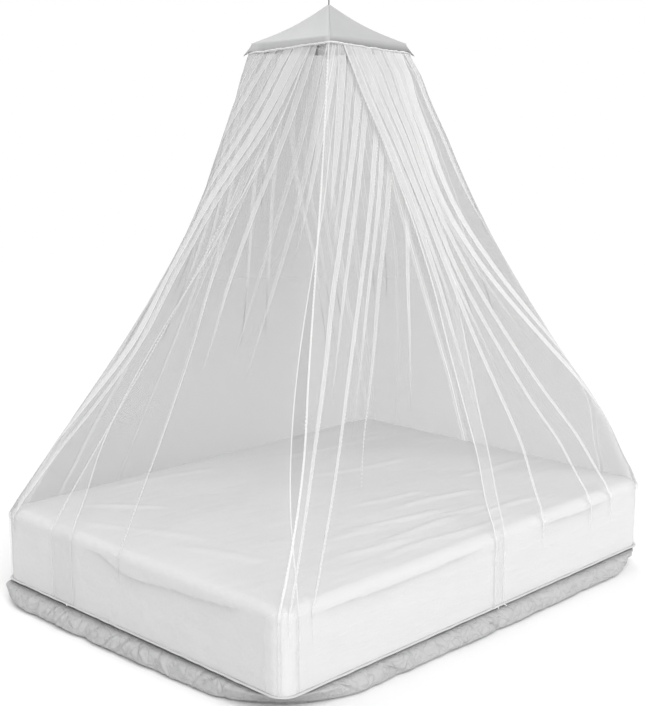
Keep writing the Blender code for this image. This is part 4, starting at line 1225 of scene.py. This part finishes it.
class CANOPY_OT_stage(bpy.types.Operator):
    """Make the pale floor, the soft lights and the camera"""
    bl_idname = "canopy.stage"
    bl_label = "Stage"

    def execute(self, context):
        stage = context.scene.canopy_stage
        shape = bmesh.new()
        bmesh.ops.create_circle(shape, cap_ends=True, segments=96, radius=FLOOR_RADIUS)
        mesh = bpy.data.meshes.new("stage_floor")
        shape.to_mesh(mesh)
        shape.free()
        floor = bpy.data.objects.new("stage_floor", mesh)
        floor.location.z = -FLOOR_DROP
        graph = Graph("stage_floor_look")
        place = graph.place()
        far = graph.node("ShaderNodeVectorMath", {0: place}, operation="LENGTH").outputs["Value"]
        grain = graph.noise(place, 40.0)
        tone = graph.mix(grain, darker(stage.floor, 0.995), stage.floor)
        mesh.materials.append(graph.finish(Base_Color=tone, Roughness=0.9,
                                           Alpha=graph.ramp(far, *FLOOR_FADE, 1.0, 0.0)))
        context.scene.collection.objects.link(floor)

        world = bpy.data.worlds.new("stage_world")
        world.use_nodes = True
        nodes = Nodes(world.node_tree)
        back = world.node_tree.nodes["Background"].inputs
        seen = nodes.node("ShaderNodeLightPath").outputs["Is Camera Ray"]
        nodes.put(back["Color"], (1.0, 1.0, 1.0))
        nodes.put(back["Strength"], nodes.value("ShaderNodeMapRange", {
            "Value": seen, "To Min": stage.ambient, "To Max": stage.backdrop}))
        context.scene.world = world

        for name, azimuth, elevation in LIGHTS:
            lamp = bpy.data.lights.new(name + "_light", "SUN")
            lamp.energy = getattr(stage, name)
            lamp.angle = math.radians(LIGHT_SPREAD)
            made = bpy.data.objects.new(name + "_light", lamp)
            turn, rise = math.radians(azimuth), math.radians(elevation)
            toward = Vector((math.sin(turn) * math.cos(rise), -math.cos(turn) * math.cos(rise),
                             math.sin(rise)))
            made.rotation_euler = toward.to_track_quat("Z", "Y").to_euler()
            made.location = toward * LIGHT_DISTANCE
            context.scene.collection.objects.link(made)

        lens = bpy.data.cameras.new("main_camera")
        lens.lens, lens.sensor_width, lens.shift_y = CAMERA_LENS, 36.0, CAMERA_SHIFT
        camera = bpy.data.objects.new("main_camera", lens)
        camera.location = CAMERA_PLACE
        camera.rotation_euler = (math.radians(90 - CAMERA_DIP), 0.0, math.radians(CAMERA_TURN))
        context.scene.collection.objects.link(camera)
        context.scene.camera = camera
        context.scene.cycles.transparent_max_bounces = 64
        context.scene.view_settings.view_transform = "Standard"
        return {"FINISHED"}


class CANOPY_PT_sidebar(bpy.types.Panel):
    """Sizes, colours and steps of the canopy"""
    bl_label = "Canopy"
    bl_space_type = "VIEW_3D"
    bl_region_type = "UI"
    bl_category = "Canopy"

    def draw(self, context):
        for name in SETTINGS:
            group = getattr(context.scene, name)
            box = self.layout.box()
            for key in group.__annotations__:
                box.prop(group, key)
        for operator in OPERATORS:
            self.layout.operator(operator.bl_idname)


SETTINGS = {
    "canopy_net": NetSettings,
    "canopy_cap": CapSettings,
    "canopy_bed": BedSettings,
    "canopy_stitch": StitchSettings,
    "canopy_stage": StageSettings,
}
OPERATORS = (CANOPY_OT_cap, CANOPY_OT_bindings, CANOPY_OT_sheet, CANOPY_OT_skirt,
             CANOPY_OT_carried, CANOPY_OT_net, CANOPY_OT_stage)


def register():
    """Add the settings, operators and panel."""
    for name, group in SETTINGS.items():
        bpy.utils.register_class(group)
        setattr(bpy.types.Scene, name, PointerProperty(type=group))
    for made in OPERATORS + (CANOPY_PT_sidebar,):
        bpy.utils.register_class(made)


def unregister():
    """Take the settings, operators and panel away."""
    for made in reversed(OPERATORS + (CANOPY_PT_sidebar,)):
        bpy.utils.unregister_class(made)
    for name, group in SETTINGS.items():
        delattr(bpy.types.Scene, name)
        bpy.utils.unregister_class(group)


def main():
    """Make every piece in order."""
    register()
    for operator in OPERATORS:
        group, name = operator.bl_idname.split(".")
        getattr(getattr(bpy.ops, group), name)()


if __name__ == "__main__":
    main()
